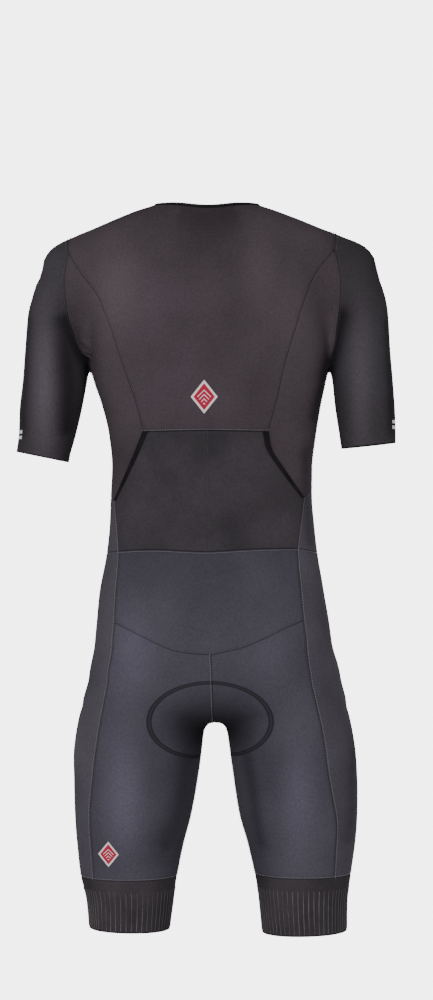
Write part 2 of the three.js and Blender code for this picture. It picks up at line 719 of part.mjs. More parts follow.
// Seams that cross the middle, from the wearer's left to the right
const backAt = ({ x, z }) => onBack(x, z);
const frontAt = ({ x, z }) => onFront(x, z);
const neckBackSide = (sign) => NECK_BACK_SIDE.map((p) => underBinding(project(V(sign * p.out, p.y, p.z))));
const neckBack = seam([corners.left.neckSide, ...neckBackSide(1), backAt(MIDDLE.neckBack),
  ...reversed(neckBackSide(-1)), corners.right.neckSide], SEGMENTS.neckBack);
const pocketTop = seam([corners.left.pocketTop, backAt(MIDDLE.pocketTop), corners.right.pocketTop],
  BACK_COLUMNS, bindingFractions(corners.left.pocketTop.distanceTo(corners.right.pocketTop)));
const waistBack = seam([corners.left.pocketBottom, ...WAIST_BACK.map(backAt),
  corners.right.pocketBottom], BACK_COLUMNS,
bindingFractions(corners.left.pocketBottom.distanceTo(corners.right.pocketBottom)));
const yokeSeamLeft = seam([corners.left.yokeEnd, ...YOKE_SEAM.left.map(backAt), yokeMiddle],
  LEG_BACK_COLUMNS);
const yokeSeamRight = seam([yokeMiddle, ...YOKE_SEAM.right.map(backAt), corners.right.yokeEnd],
  LEG_BACK_COLUMNS);
const centreBack = seam([yokeMiddle, ...CENTRE_BACK.map(backAt),
  onArch(MIDDLE.crotch.x, CROTCH_BACK_Y, BELOW_CROTCH), crotch], SEGMENTS.centreBack);
const centreFront = seam([waistFront, ...CENTRE_FRONT.map(frontAt),
  onArch(MIDDLE.crotch.x, CROTCH_FRONT_Y, BELOW_CROTCH), crotch], SEGMENTS.centreFrontRise);

// Upper back
const backSides = ['left', 'right'].map((side) => reversed(join(
  seams[side].armholeTip, seams[side].princess)));
addCloth('back_upper', fillGrid({
  bottom: pocketTop,
  top: join(reversed(seams.left.shoulder), neckBack, seams.right.shoulder),
  left: backSides[0],
  right: backSides[1],
}), 'sheer');

// Pocket: the inner wall, the pocket made from its points moved out, and the bindings
const pocketGrid = fillGrid({
  bottom: waistBack,
  top: pocketTop,
  left: reversed(join(seams.left.slant, seams.left.pocketLower)),
  right: reversed(join(seams.right.slant, seams.right.pocketLower)),
});
addCloth('pocket_inner', pocketGrid, 'sheer');
const pocketLift = SEAM_GAP + POCKET_WALL;
addCloth('pocket', pocketGrid, 'pocket', { wall: POCKET_WALL, lift: pocketLift });
const bindingRows = pocketGrid.slice(SEGMENTS.pocketLower);
const bindingLift = pocketLift + SEAM_GAP + BINDING_WALL;
addCloth('pocket_binding_left', bindingRows.map((row) => row.slice(0, 2)), 'binding',
  { wall: BINDING_WALL, lift: bindingLift });
addCloth('pocket_binding_right', bindingRows.map((row) => row.slice(-2)), 'binding',
  { wall: BINDING_WALL, lift: bindingLift });

// Side backs, side inserts and fronts
for (const side of ['left', 'right']) {
  const s = seams[side];
  addCloth(`side_back_${side}`, fillGrid({
    bottom: s.insertTop,
    top: s.armholeBack,
    left: reversed(join(s.princess, s.slant)),
    right: reversed(s.sideSeam),
  }), 'sheer');
  addCloth(`side_insert_${side}`, fillGrid({
    bottom: s.waistInsert,
    top: s.insertTop,
    left: reversed(s.pocketLower),
    right: reversed(s.insertSide),
  }), 'sidePanel');
}

// Fronts on each side of the zip, which runs from the neckline to the waist seam
const zipEdge = (side) => {
  const c = corners[side];
  const route = ZIP_MIDDLE.map((row) => onFront(row.x + (SIDES[side].sign * ZIP_WIDTH) / 2, row.z));
  return seam([c.zipBottom, ...route, c.zipTop],
    SEGMENTS.princess + SEGMENTS.slant + SEGMENTS.pocketLower + SEGMENTS.armholeTip
    + SEGMENTS.armholeBack);
};
const zipEdges = { left: zipEdge('left'), right: zipEdge('right') };
for (const side of ['left', 'right']) {
  const s = seams[side];
  const below = SEGMENTS.princess + SEGMENTS.slant + SEGMENTS.pocketLower;
  const chestLine = seam([zipEdges[side][below], ...CHEST_LINE.map(
    (row) => onFront(SIDES[side].sign * row.out, row.z),
  ), onFlank(side, CHEST_FLANK.y, CHEST_FLANK.z), corners[side].armpit],
  SEGMENTS.frontSide + SEGMENTS.frontMiddle);
  const lower = fillGrid({
    bottom: reversed(join(s.waistFrontSide, s.waistFront)),
    top: chestLine,
    left: zipEdges[side].slice(0, below + 1),
    right: join(reversed(s.insertSide), reversed(s.sideSeam)),
  });
  const upper = fillGrid({
    bottom: chestLine,
    top: join(reversed(s.neckFront), s.shoulder),
    left: zipEdges[side].slice(below),
    right: s.armholeFront,
  });
  addCloth(`front_${side}`, join(lower, upper), 'sheer');
}

// Zip tape between the fronts
addCloth('zip_tape', fillGrid({
  bottom: [corners.left.zipBottom, waistFront, corners.right.zipBottom],
  top: [corners.left.zipTop, project(V(MIDDLE.neckFront.x, MIDDLE.neckFrontY, MIDDLE.neckFront.z)),
    corners.right.zipTop],
  left: zipEdges.left,
  right: zipEdges.right,
}), 'zip');

// Neck binding: a narrow band from the centre back to each side of the zip
function neckBand(row) {
  return [0, 0.5, 1].map((share) => row.map((point) => climb(point, share * NECK_BINDING_HEIGHT)));
}
const halfNeck = SEGMENTS.neckBack / 2;
const neckRows = {
  left: join(reversed(seams.left.neckFront), neckBack.slice(0, halfNeck + 1)),
  right: join(reversed(seams.right.neckFront), reversed(neckBack).slice(0, halfNeck + 1)),
};
for (const side of ['left', 'right']) {
  addCloth(`neck_binding_${side}`, neckBand(neckRows[side]), 'binding');
}

// Sleeves: one tube each, from the armhole ring to the cuff ring
function sleeveGrid(side) {
  const s = SIDES[side];
  const ring = join(seams[side].armholeTip, seams[side].armholeBack, seams[side].armholeFront)
    .slice(0, -1);
  const half = ring.length / 2;
  const backTurn = lengthFractions(ring.slice(0, half + 1));
  const frontTurn = lengthFractions([...ring.slice(half), ring[0]]);
  const curves = armCurves[side];
  const top = V(s.sign * SLEEVE_TOP.out, 0, SLEEVE_TOP.z);
  const cuffMiddle = (s.cuff.outer + s.cuff.inner) / 2;
  const cuff = V(curves.x(cuffMiddle), curves.y(cuffMiddle), cuffMiddle);
  return Array.from({ length: SEGMENTS.sleeve + 1 }, (_, j) => {
    if (j === 0) return ring;
    const t = j / SEGMENTS.sleeve;
    const centre = top.clone().lerp(cuff, t);
    return ring.map((point, i) => {
      const turn = i <= half ? backTurn[i] * 0.5 : 0.5 + frontTurn[i - half] * 0.5;
      const angle = 2 * Math.PI * turn;
      const slope = (s.cuff.outer - s.cuff.inner) / (2 * curves.half(cuffMiddle));
      const end = V(s.sign * Math.cos(angle), Math.sin(angle), slope * Math.cos(angle)).normalize();
      const start = point.clone().sub(top).normalize();
      const swing = new THREE.Quaternion().setFromUnitVectors(start, end);
      const part = new THREE.Quaternion().slerp(swing, THREE.MathUtils.smoothstep(t, 0, 1));
      return cast(centre, start.applyQuaternion(part));
    });
  });
}
for (const side of ['left', 'right']) {
  addCloth(`sleeve_${side}`, sleeveGrid(side), 'sleeve', { closed: true });
}

// Back yoke
addCloth('back_yoke', fillGrid({
  bottom: join(yokeSeamLeft, yokeSeamRight),
  top: waistBack,
  left: reversed(seams.left.sidePanelTop),
  right: reversed(seams.right.sidePanelTop),
}), 'shorts');

// Legs: back, side and front panels
const legGrids = {};
const yokeSeams = { left: yokeSeamLeft, right: reversed(yokeSeamRight) };
for (const side of ['left', 'right']) {
  const s = seams[side];
  const zipHalf = side === 'left' ? [corners.left.zipBottom, waistFront]
    : [corners.right.zipBottom, waistFront];
  legGrids[`back_leg_${side}`] = fillGrid({
    bottom: s.gripperBack,
    top: yokeSeams[side],
    left: reversed(s.sidePanelBack),
    right: reversed(join(centreBack, s.inseam)),
  });
  addCloth(`side_leg_${side}`, fillGrid({
    bottom: s.gripperSide,
    top: join(s.waistInsert, s.waistFrontSide),
    left: reversed(join(s.sidePanelTop, s.sidePanelBack)),
    right: reversed(s.sidePanelFront),
  }), 'sidePanel');
  legGrids[`front_leg_${side}`] = fillGrid({
    bottom: s.gripperFront,
    top: join(s.waistFront, zipHalf),
    left: reversed(s.sidePanelFront),
    right: reversed(join(centreFront, s.inseam)),
  });
}
for (const [name, grid] of Object.entries(legGrids)) addCloth(name, grid, 'shorts');

// Grippers: wide ribbed bands, their ribs raised in the outer points over a plain inside
function gripperGrid(side) {
  const s = seams[side];
  const c = SIDES[side];
  const curves = legCurves[side];
  const ring = join(s.gripperBack, reversed(s.gripperFront), reversed(s.gripperSide)).slice(0, -1);
  const top = ring.flatMap((point, i) => {
    const next = ring[(i + 1) % ring.length];
    return Array.from({ length: SEGMENTS.ribsPerSegment },
      (_, k) => point.clone().lerp(next, k / SEGMENTS.ribsPerSegment));
  });
  const axis = (z) => V(curves.x(z), curves.y(z), z);
  const row = (drop) => top.map((point) => {
    const away = point.clone().sub(axis(point.z));
    const across = (away.x * c.sign) / curves.half(point.z);
    const z = drop === 1 ? mix((c.hem.outer + c.hem.inner) / 2, across > 0 ? c.hem.outer : c.hem.inner,
      Math.abs(across)) : c.gripperTop - drop;
    return cast(axis(z), V(away.x, away.y, 0));
  });
  return [top, row(RIB_START), row(RIB_START + RIB_FADE), row(1)];
}
const ribRelief = (j, i) => (j >= 2 && i % 2 === 0 ? RIB_HEIGHT : 0);
for (const side of ['left', 'right']) {
  addCloth(`gripper_${side}`, gripperGrid(side), 'gripper', { closed: true, relief: ribRelief });
}

// Plates with rounded corners, and the solids that are cut or joined
function roundedPlate(width, bottom, top, radius) {
  const half = width / 2;
  const shape = new THREE.Shape();
  shape.moveTo(-half + radius, bottom);
  shape.lineTo(half - radius, bottom);
  shape.absarc(half - radius, bottom + radius, radius, -Math.PI / 2, 0);
  shape.lineTo(half, top - radius);
  shape.absarc(half - radius, top - radius, radius, 0, Math.PI / 2);
  shape.lineTo(-half + radius, top);
  shape.absarc(-half + radius, top - radius, radius, Math.PI / 2, Math.PI);
  shape.lineTo(-half, bottom + radius);
  shape.absarc(-half + radius, bottom + radius, radius, Math.PI, 1.5 * Math.PI);
  return shape;
}

const extrude = (shape, depth, curveSegments = 4) => new THREE.ExtrudeGeometry(shape,
  { depth, bevelEnabled: false, curveSegments });

function toSolid(geometry) {
  const bare = geometry.clone();
  bare.deleteAttribute('normal');
  bare.deleteAttribute('uv');
  const merged = mergeVertices(bare, 1e-4);
  return new wasm.Manifold(new wasm.Mesh({
    numProp: 3,
    vertProperties: new Float32Array(merged.attributes.position.array),
    triVerts: new Uint32Array(merged.index.array),
  }));
}

function toGeometry(solid) {
  const mesh = solid.getMesh();
  const geometry = new THREE.BufferGeometry();
  geometry.setAttribute('position', new THREE.BufferAttribute(new Float32Array(mesh.vertProperties), 3));
  geometry.setIndex(Array.from(mesh.triVerts));
  return geometry;
}

// Seat pad: a soft saddle inside the seat, thick in the middle and thin at its edge. It is made
// from the leg panels' own points, moved in, and its oval edge is cut through them.
const padQuads = ['back', 'front'].flatMap((face) => ['left', 'right'].flatMap((side) => {
  const grid = legGrids[`${face}_leg_${side}`];
  const last = grid[0].length - 1;
  const quads = [];
  const { below, above } = SEAT_PAD_REACH;
  for (let j = SEGMENTS.inseam - below; j < SEGMENTS.inseam + above; j += 1) {
    for (let i = last - SEAT_PAD_REACH.columns; i < last; i += 1) {
      const [a, b, c, d] = [grid[j][i], grid[j][i + 1], grid[j + 1][i + 1], grid[j + 1][i]];
      const facing = c.clone().sub(a).cross(d.clone().sub(b)).dot(outward(a));
      quads.push(facing > 0 ? [a, b, c, d] : [a, d, c, b]);
    }
  }
  return quads;
}));

function padWall(quads) {
  const keyOf = (point) => point.toArray().map((value) => value.toFixed(3)).join(' ');
  const edgeKey = (a, b) => [keyOf(a), keyOf(b)].sort().join('|');
  const places = new Map();
  const edgeUses = new Map();
  quads.forEach((quad) => quad.forEach((point, k) => {
    if (!places.has(keyOf(point))) places.set(keyOf(point), { point, index: places.size });
    const edge = edgeKey(point, quad[(k + 1) % 4]);
    edgeUses.set(edge, (edgeUses.get(edge) ?? 0) + 1);
  }));
  const thickness = (point) => {
    const reach = Math.hypot((point.x - SEAT_PAD.x) / SEAT_PAD.halfWidth,
      (point.z - SEAT_PAD.z) / SEAT_PAD.halfHeight);
    return mix(PAD_THICKNESS, PAD_EDGE_THICKNESS, THREE.MathUtils.smoothstep(reach, 0.4, 1));
  };
  const layer = (depth) => [...places.values()].map(({ point }) => point.clone()
    .addScaledVector(outward(point), -WALL - PAD_CLEARANCE - depth * thickness(point)));
  const inner = places.size;
  const faces = quads.flatMap((quad) => {
    const [a, b, c, d] = quad.map((point) => places.get(keyOf(point)).index);
    const sides = [[a, b], [b, c], [c, d], [d, a]].filter(
      (_, k) => edgeUses.get(edgeKey(quad[k], quad[(k + 1) % 4])) === 1,
    );
    return [a, b, c, a, c, d, a + inner, c + inner, b + inner, a + inner, d + inner, c + inner,
      ...sides.flatMap(([from, to]) => [from, from + inner, to + inner, from, to + inner, to])];
  });
  const geometry = new THREE.BufferGeometry();
  geometry.setAttribute('position', new THREE.Float32BufferAttribute(
    [...layer(0), ...layer(1)].flatMap((p) => [p.x, p.y, p.z]), 3));
  geometry.setIndex(faces);
  return geometry;
}

const padOutline = new THREE.Shape().absellipse(SEAT_PAD.x, SEAT_PAD.z, SEAT_PAD.halfWidth,
  SEAT_PAD.halfHeight, 0, 2 * Math.PI);
const padCutter = extrude(padOutline, SEAT_PAD.depth, SEAT_PAD.sides);
padCutter.rotateX(Math.PI / 2);
padCutter.translate(0, SEAT_PAD.depth / 2, 0);
addMesh('seat_pad', toGeometry(toSolid(padWall(padQuads)).intersect(toSolid(padCutter))), 'pad');

// Zip slider with its bridge, and the pull tab that swings on it
const sliderPoint = zipEdges.left.at(-1).clone().lerp(zipEdges.left.at(-2),
  SLIDER.below / zipEdges.left.at(-1).distanceTo(zipEdges.left.at(-2)));
const sliderSeat = project(V(sliderPoint.x - ZIP_WIDTH / 2, sliderPoint.y, sliderPoint.z));
const hardware = new THREE.Group();
const offCloth = outward(sliderSeat);
offCloth.x = 0;
offCloth.normalize();
const upZip = offCloth.clone().cross(V(1, 0, 0));
hardware.position.copy(sliderSeat);
hardware.quaternion.setFromRotationMatrix(new THREE.Matrix4().makeBasis(V(1, 0, 0), upZip, offCloth));
suit.add(hardware);

const plate = extrude(roundedPlate(SLIDER.width, -SLIDER.length / 2, SLIDER.length / 2,
  SLIDER.corner), SLIDER.plate);
plate.translate(0, 0, SEAM_GAP);
const bridgeTop = PULL.axis + SLIDER.slot / 2 + SLIDER.roof;
const bridgeShape = roundedPlate(SLIDER.bridge, SLIDER.plate - SLIDER.sink, bridgeTop,
  SLIDER.bridgeCorner);
const slotShape = roundedPlate(SLIDER.bridge - 2 * SLIDER.post, PULL.axis - SLIDER.slot / 2,
  PULL.axis + SLIDER.slot / 2, SLIDER.slotCorner);
bridgeShape.holes.push(new THREE.Path(slotShape.getPoints(4)));
const bridge = extrude(bridgeShape, SLIDER.bridgeWidth);
bridge.translate(0, 0, -SLIDER.bridgeWidth / 2);
bridge.applyMatrix4(new THREE.Matrix4().makeBasis(V(0, 1, 0), V(0, 0, 1), V(1, 0, 0)));
const slider = addMesh('zip_slider', toGeometry(toSolid(plate).add(toSolid(bridge))), 'zipMetal');
hardware.add(slider);

const pullShape = roundedPlate(PULL.width, -PULL.length, PULL.bar / 2, PULL.corner);
const windowShape = roundedPlate(SLIDER.bridgeWidth + PULL.play, -PULL.bar / 2 - PULL.window,
  -PULL.bar / 2, PULL.windowCorner);
pullShape.holes.push(new THREE.Path(windowShape.getPoints(4)));
const pull = addMesh('zip_pull', extrude(pullShape, PULL.thickness), 'zipMetal');
pull.position.set(0, 0, PULL.axis - PULL.thickness / 2);
hardware.add(pull);

export default suit;
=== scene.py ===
# %% [markdown]
# # A short-sleeved triathlon suit, seen from behind
#
# The real suit is a stretch garment: thin knitted panels, joined by flat seams. Here it keeps
# its hollow worn form, open at the neck, the cuffs and the hems. The hard model gives each
# panel as a coarse wall. This script replaces each wall by a fine, smooth shell in the same
# place, and gives it its knit, seams, stitches and soft creases.

# %% Load the frame
import math

import bmesh
import bpy
import numpy as np
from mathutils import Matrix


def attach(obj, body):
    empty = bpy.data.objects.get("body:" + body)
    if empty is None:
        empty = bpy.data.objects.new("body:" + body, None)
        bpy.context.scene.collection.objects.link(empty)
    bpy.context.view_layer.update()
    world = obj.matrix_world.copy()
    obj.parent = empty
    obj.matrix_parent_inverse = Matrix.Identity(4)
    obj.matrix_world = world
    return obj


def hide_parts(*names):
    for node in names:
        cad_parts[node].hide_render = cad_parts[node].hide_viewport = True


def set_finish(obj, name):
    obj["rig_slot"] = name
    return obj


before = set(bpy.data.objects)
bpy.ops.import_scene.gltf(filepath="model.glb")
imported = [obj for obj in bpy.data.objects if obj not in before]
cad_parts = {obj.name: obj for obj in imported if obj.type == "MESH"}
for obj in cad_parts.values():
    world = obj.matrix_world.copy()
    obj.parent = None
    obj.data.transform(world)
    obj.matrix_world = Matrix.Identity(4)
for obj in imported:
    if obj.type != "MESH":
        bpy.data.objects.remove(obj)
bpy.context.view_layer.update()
MM = 0.001
print("nodes in the frame:", len(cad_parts))

# %% [markdown]
# ## Camera, floor and light
#
# The photograph was taken from behind, level with the middle of the suit, with a long lens.
# A suit this dark only shows its form by soft light that grazes it, so large soft lamps stand
# on all sides and above, the strongest one behind the camera. The floor is round and pale,
# and stays below the frame of the photograph, with white all around.

# %% Place the camera
CAMERA_SPOT = (-0.013, 4.0, -0.404)
PHOTO_HEIGHT = 1000
FOCAL_PIXELS = 2919.7
camera_data = bpy.data.cameras.new("photo_camera")
camera_data.lens = camera_data.sensor_width * FOCAL_PIXELS / PHOTO_HEIGHT
camera = bpy.data.objects.new("photo_camera", camera_data)
camera.location = CAMERA_SPOT
camera.rotation_euler = (math.radians(90), 0, math.radians(180))
bpy.context.scene.collection.objects.link(camera)
bpy.context.scene.camera = camera
print("lens", round(camera_data.lens, 1), "mm")


# %% Two helpers: colours, and a node with its settings and links
def colour(hex_text):
    """An sRGB hex colour as linear red, green, blue and alpha."""
    parts = [int(hex_text[k:k + 2], 16) / 255 for k in (0, 2, 4)]
    return [p / 12.92 if p <= 0.04045 else ((p + 0.055) / 1.055) ** 2.4 for p in parts] + [1.0]


def add(tree, kind, inputs=None, **settings):
    made = tree.nodes.new(kind)
    for key, value in settings.items():
        setattr(made, key, value)
    for key, value in (inputs or {}).items():
        if isinstance(value, bpy.types.NodeSocket):
            tree.links.new(value, made.inputs[key])
        else:
            made.inputs[key].default_value = value
    return made


# %% Lay the floor and set the lamps
FLOOR_HEIGHT = -1.53
FLOOR_REACH = 2.4
FLOOR_CORNERS = 96
floor_mesh = bpy.data.meshes.new("studio_floor")
floor_mesh.from_pydata([(FLOOR_REACH * math.cos(math.tau * k / FLOOR_CORNERS),
                         FLOOR_REACH * math.sin(math.tau * k / FLOOR_CORNERS), FLOOR_HEIGHT)
                        for k in range(FLOOR_CORNERS)], [], [tuple(range(FLOOR_CORNERS))])
floor = bpy.data.objects.new("studio_floor", floor_mesh)
bpy.context.scene.collection.objects.link(floor)
# Seamless paper: matt and almost white, so it gives the eye nothing but an even ground.
paper = bpy.data.materials.new("studio_paper")
paper.use_nodes = True
paper.node_tree.nodes["Principled BSDF"].inputs["Base Color"].default_value = colour("f8f8f8")
paper.node_tree.nodes["Principled BSDF"].inputs["Roughness"].default_value = 0.9
floor_mesh.materials.append(paper)

# The air around is bright white to look at but gives only a little light, as in a large studio
AIR_SEEN = 5.0
AIR_LIGHT = 0.3
world = bpy.data.worlds.new("studio")
world.use_nodes = True
air = world.node_tree
white_air = air.nodes["Background"]
white_air.inputs["Color"].default_value = (1, 1, 1, 1)
white_air.inputs["Strength"].default_value = AIR_SEEN
soft_air = add(air, "ShaderNodeBackground", {"Color": (1, 1, 1, 1), "Strength": AIR_LIGHT})
seen_or_lit = add(air, "ShaderNodeMixShader",
                  {0: add(air, "ShaderNodeLightPath").outputs["Is Camera Ray"],
                   1: soft_air.outputs[0], 2: white_air.outputs[0]})
air.links.new(seen_or_lit.outputs[0], air.nodes["World Output"].inputs["Surface"])
bpy.context.scene.world = world
# Name, place, what it points at, size in metres and watts
LAMPS = [
    ("key_softbox", (1.3, 3.6, 0.7), (0, 0, -0.45), 1.4, 152),
    ("fill_softbox", (-1.9, 3.0, 0.1), (0, 0, -0.45), 1.6, 30),
    ("top_softbox", (0.0, 1.4, 2.1), (0, 0, -0.45), 1.6, 12),
    ("front_softbox", (-1.3, -3.6, 0.7), (0, 0, -0.45), 1.4, 150),
    ("front_fill", (1.9, -3.0, 0.1), (0, 0, -0.45), 1.6, 30),
    ("left_softbox", (3.6, 0.3, 0.3), (0, 0, -0.45), 1.6, 45),
    ("right_softbox", (-3.6, 0.3, 0.3), (0, 0, -0.45), 1.6, 45),
]
for name, spot, target, size, power in LAMPS:
    lamp_data = bpy.data.lights.new(name, "AREA")
    lamp_data.shape = "SQUARE"
    lamp_data.size = size
    lamp_data.energy = power
    lamp = bpy.data.objects.new(name, lamp_data)
    lamp.location = spot
    aim = np.array(target) - np.array(spot)
    lamp.rotation_euler = (math.acos(-aim[2] / np.linalg.norm(aim)), 0,
                           math.atan2(-aim[0], aim[1]))
    bpy.context.scene.collection.objects.link(lamp)
print("lamps:", len(LAMPS))

# %% [markdown]
# ## The form that the cloth lies on
#
# A stretch suit has no shape of its own, so it needs a form to lie on. One smooth formula does
# this: stacks of oval sections for the trunk, the sleeves and the legs, blended where they
# meet. It is a general figure with no detail, and it is never made into an object. Working
# from a formula, any seam or panel can be drawn on it as finely as it is needed. The tables
# below are in millimetres, from the top down.

# %% Tables of oval sections
COLUMNS = ("z", "x", "y", "half", "back", "front")
TORSO = [
    (60, 0, 4, 62, 54, 56), (12, 0, 4, 65, 55, 56), (0, 0, 4, 71, 57, 58),
    (-10, 1, 4, 98, 62, 62), (-20.5, 0, 4, 125, 67, 67), (-31.5, -1, 4, 150, 72, 73),
    (-42.5, -2, 3, 168, 78, 78), (-60, -2, 2, 177, 86, 86), (-100, -2, 0, 178, 99, 98),
    (-150, -2, 0, 173, 106, 110), (-200, -3, 0, 166, 107, 116), (-240, -4, 0, 159, 104, 118),
    (-273, -6, 0, 150, 100, 117), (-316, -7.5, 0, 141.5, 94, 113), (-360, -7, 0, 137, 87, 109),
    (-404, -6, 0, 138, 82, 106), (-448, -7, 0, 141, 81, 105), (-481, -7, 0, 145, 84, 105),
    (-525, -6.5, 0, 153, 94, 106), (-569, -8, 0, 159, 106, 107), (-612, -9, 0, 164, 116, 105),
    (-656, -10.5, 0, 171, 120, 99), (-690, -10.5, 0, 176, 116, 92),
]
ARMS = {
    "left": [
        (-92, 176, 2, 50, 54, 54), (-110, 186, 2, 48, 57, 57), (-130, 193, 2, 47, 59, 59),
        (-150, 199, 2, 46, 59, 60), (-200, 204, 2, 45, 57, 59), (-240, 208, 1, 44, 54, 56),
        (-273, 213, 0, 43, 51, 53), (-316, 219, -1, 39, 48, 50), (-345, 225, -2, 37, 47, 48),
        (-390, 231, -3, 36, 46, 47),
    ],
    "right": [
        (-92, -183, 2, 50, 54, 54), (-110, -191, 2, 48, 57, 57), (-130, -198, 2, 47, 59, 59),
        (-150, -203, 2, 45, 59, 60), (-200, -208, 2, 43, 57, 59), (-240, -213, 1, 41.5, 54, 56),
        (-273, -216, 0, 41, 51, 53), (-316, -220, -1, 38.5, 48, 50),
        (-345, -222, -2, 36.5, 47, 48), (-390, -226, -3, 36, 46, 47),
    ],
}
LEGS = {
    "left": [
        (-640, 73, 6, 78, 106, 94), (-656, 76, 6, 82, 107, 94), (-700, 88.5, 5, 86.5, 104, 92),
        (-744, 94.5, 4, 87.5, 97, 91), (-788, 97.5, 1, 84.5, 91, 90), (-832, 101, -1, 80, 86, 86),
        (-875, 105, -4, 73, 80, 81), (-919, 107, -7, 66, 73, 74), (-952, 105.5, -9, 59.5, 69, 70),
        (-1010, 106.5, -10, 54.5, 65, 66),
    ],
    "right": [
        (-640, -94, 6, 79, 106, 94), (-656, -97, 6, 83, 107, 94), (-700, -110, 5, 85, 104, 92),
        (-744, -117, 4, 86, 97, 91), (-788, -121.5, 1, 84.5, 91, 90), (-832, -125, -1, 81, 86, 86),
        (-875, -129.5, -4, 73.5, 80, 81), (-919, -131.5, -7, 65.5, 73, 74),
        (-952, -132, -9, 60.5, 69, 70), (-1010, -134, -10, 58, 65, 66),
    ],
}
SHOULDER_TOP = (-92, 44)
LEG_TOP = (-650, 60)
TORSO_BOTTOM = (-672, -34)
ARM_END = -400
TORSO_ROUNDNESS = 2.35
LIMB_ROUNDNESS = 2.15
LEG_BLEND = 18
SHOULDER_BLEND = 34
ARMPIT_BLEND = 10
print("section rows:", len(TORSO) + 2 * len(ARMS["left"]) + 2 * len(LEGS["left"]))


# %% Curves through the tables
def column_curve(rows, key):
    """A smooth curve through one column, with no overshoot between rows."""
    rows = sorted(rows)
    height = np.array([row[0] for row in rows], float)
    value = np.array([row[COLUMNS.index(key)] for row in rows], float)
    rise = np.diff(value) / np.diff(height)
    slope = np.zeros(len(rows))
    same_way = rise[:-1] * rise[1:] > 0
    total = np.where(same_way, rise[:-1] + rise[1:], 1)
    slope[1:-1] = np.where(same_way, 2 * rise[:-1] * rise[1:] / total, 0)

    def curve(z):
        z = np.clip(z, height[0], height[-1])
        k = np.clip(np.searchsorted(height, z, side="right") - 1, 0, len(height) - 2)
        span = height[k + 1] - height[k]
        t = (z - height[k]) / span
        start = value[k] * (1 + 2 * t) * (1 - t) ** 2 + slope[k] * span * t * (1 - t) ** 2
        return start + value[k + 1] * t * t * (3 - 2 * t) - slope[k + 1] * span * t * t * (1 - t)

    return curve


def section_curves(rows):
    return {key: column_curve(rows, key) for key in COLUMNS[1:]}


torso_curves = section_curves(TORSO)
arm_curves = {side: section_curves(rows) for side, rows in ARMS.items()}
leg_curves = {side: section_curves(rows) for side, rows in LEGS.items()}
print("half width at the waist:", round(float(torso_curves["half"](-448.0)), 1), "mm")


# %% Distance from a point to the form
def smoothstep(value, low, high):
    t = np.clip((value - low) / (high - low), 0, 1)
    return t * t * (3 - 2 * t)


def stack_distance(curves, p, roundness, cap):
    """Distance to a stack of ovals, negative inside; past its cap it closes in a dome."""
    cap_height, rise = cap
    past = np.maximum((p[..., 2] - cap_height) * math.copysign(1, rise), 0)
    z = np.where(past > 0, cap_height, p[..., 2])
    dx = p[..., 0] - curves["x"](z)
    dy = p[..., 1] - curves["y"](z)
    depth = np.where(dy > 0, curves["back"](z), curves["front"](z))
    reach = (np.abs(dx / curves["half"](z)) ** roundness + np.abs(dy / depth) ** roundness
             + (past / abs(rise)) ** roundness) ** (1 / roundness)
    away = np.sqrt(dx * dx + dy * dy + past * past)
    return np.where(reach < 1e-6, -depth, away * (1 - 1 / np.maximum(reach, 1e-6)))


def smooth_min(a, b, softness):
    overlap = np.maximum(softness - np.abs(a - b), 0) / softness
    return np.minimum(a, b) - overlap * overlap * softness / 4


def figure(p):
    """The form's surface is where this is zero."""
    arm_blend = SHOULDER_BLEND + (ARMPIT_BLEND - SHOULDER_BLEND) * smoothstep(-p[..., 2], 120, 215)
    distance = stack_distance(torso_curves, p, TORSO_ROUNDNESS, TORSO_BOTTOM)
    for side in ("left", "right"):
        leg = stack_distance(leg_curves[side], p, LIMB_ROUNDNESS, LEG_TOP)
        distance = smooth_min(distance, leg, LEG_BLEND)
    with_arms = distance
    for side in ("left", "right"):
        arm = stack_distance(arm_curves[side], p, LIMB_ROUNDNESS, SHOULDER_TOP)
        with_arms = smooth_min(with_arms, arm, arm_blend)
    return np.where(p[..., 2] < ARM_END, distance, with_arms)


# %% Slopes, projection and lines cast at the form
def gradient(p):
    step = 0.5
    parts = []
    for axis in range(3):
        shift = np.zeros(3)
        shift[axis] = step
        parts.append((figure(p + shift) - figure(p - shift)) / (2 * step))
    return np.stack(parts, -1)


def outward(p):
    slope = gradient(p)
    return slope / np.linalg.norm(slope, axis=-1, keepdims=True)


def project(p, rounds=8):
    """Slides points along the slope of the form until they lie on its surface."""
    p = np.array(p, float)
    for _ in range(rounds):
        slope = gradient(p)
        step = np.clip(-figure(p) / (slope ** 2).sum(-1), -18, 18)
        p = p + slope * step[..., None]
    return p


def cast(start, direction):
    """Where lines from the starts first cross the surface, going in or out."""
    start, direction = np.broadcast_arrays(np.array(start, float), np.array(direction, float))
    ray = direction / np.linalg.norm(direction, axis=-1, keepdims=True)
    inside = figure(start) < 0
    near = np.zeros(start.shape[:-1])
    going = np.ones(start.shape[:-1], bool)
    for _ in range(170):
        ahead = figure(start + ray * (near + 3)[..., None]) < 0
        going &= ahead == inside
        if not going.any():
            break
        near = np.where(going, near + 3, near)
    far = near + 3
    for _ in range(24):
        middle = (near + far) / 2
        same = (figure(start + ray * middle[..., None]) < 0) == inside
        near, far = np.where(same, middle, near), np.where(same, far, middle)
    return start + ray * far[..., None]


def climb(p, height):
    """Moves points up the slope of the surface, or down it."""
    normal = outward(p)
    up = np.array([0, 0, 1]) - normal * normal[..., 2:]
    return project(p + up / np.linalg.norm(up, axis=-1, keepdims=True) * height)


def on_back(x, z):
    return cast((x, 260, z), (0, -1, 0))


def on_front(x, z):
    return cast((x, -260, z), (0, 1, 0))


SIGN = {"left": 1, "right": -1}


def on_flank(side, y, z):
    return cast((float(torso_curves["x"](z)), y, z), (SIGN[side], 0, 0))


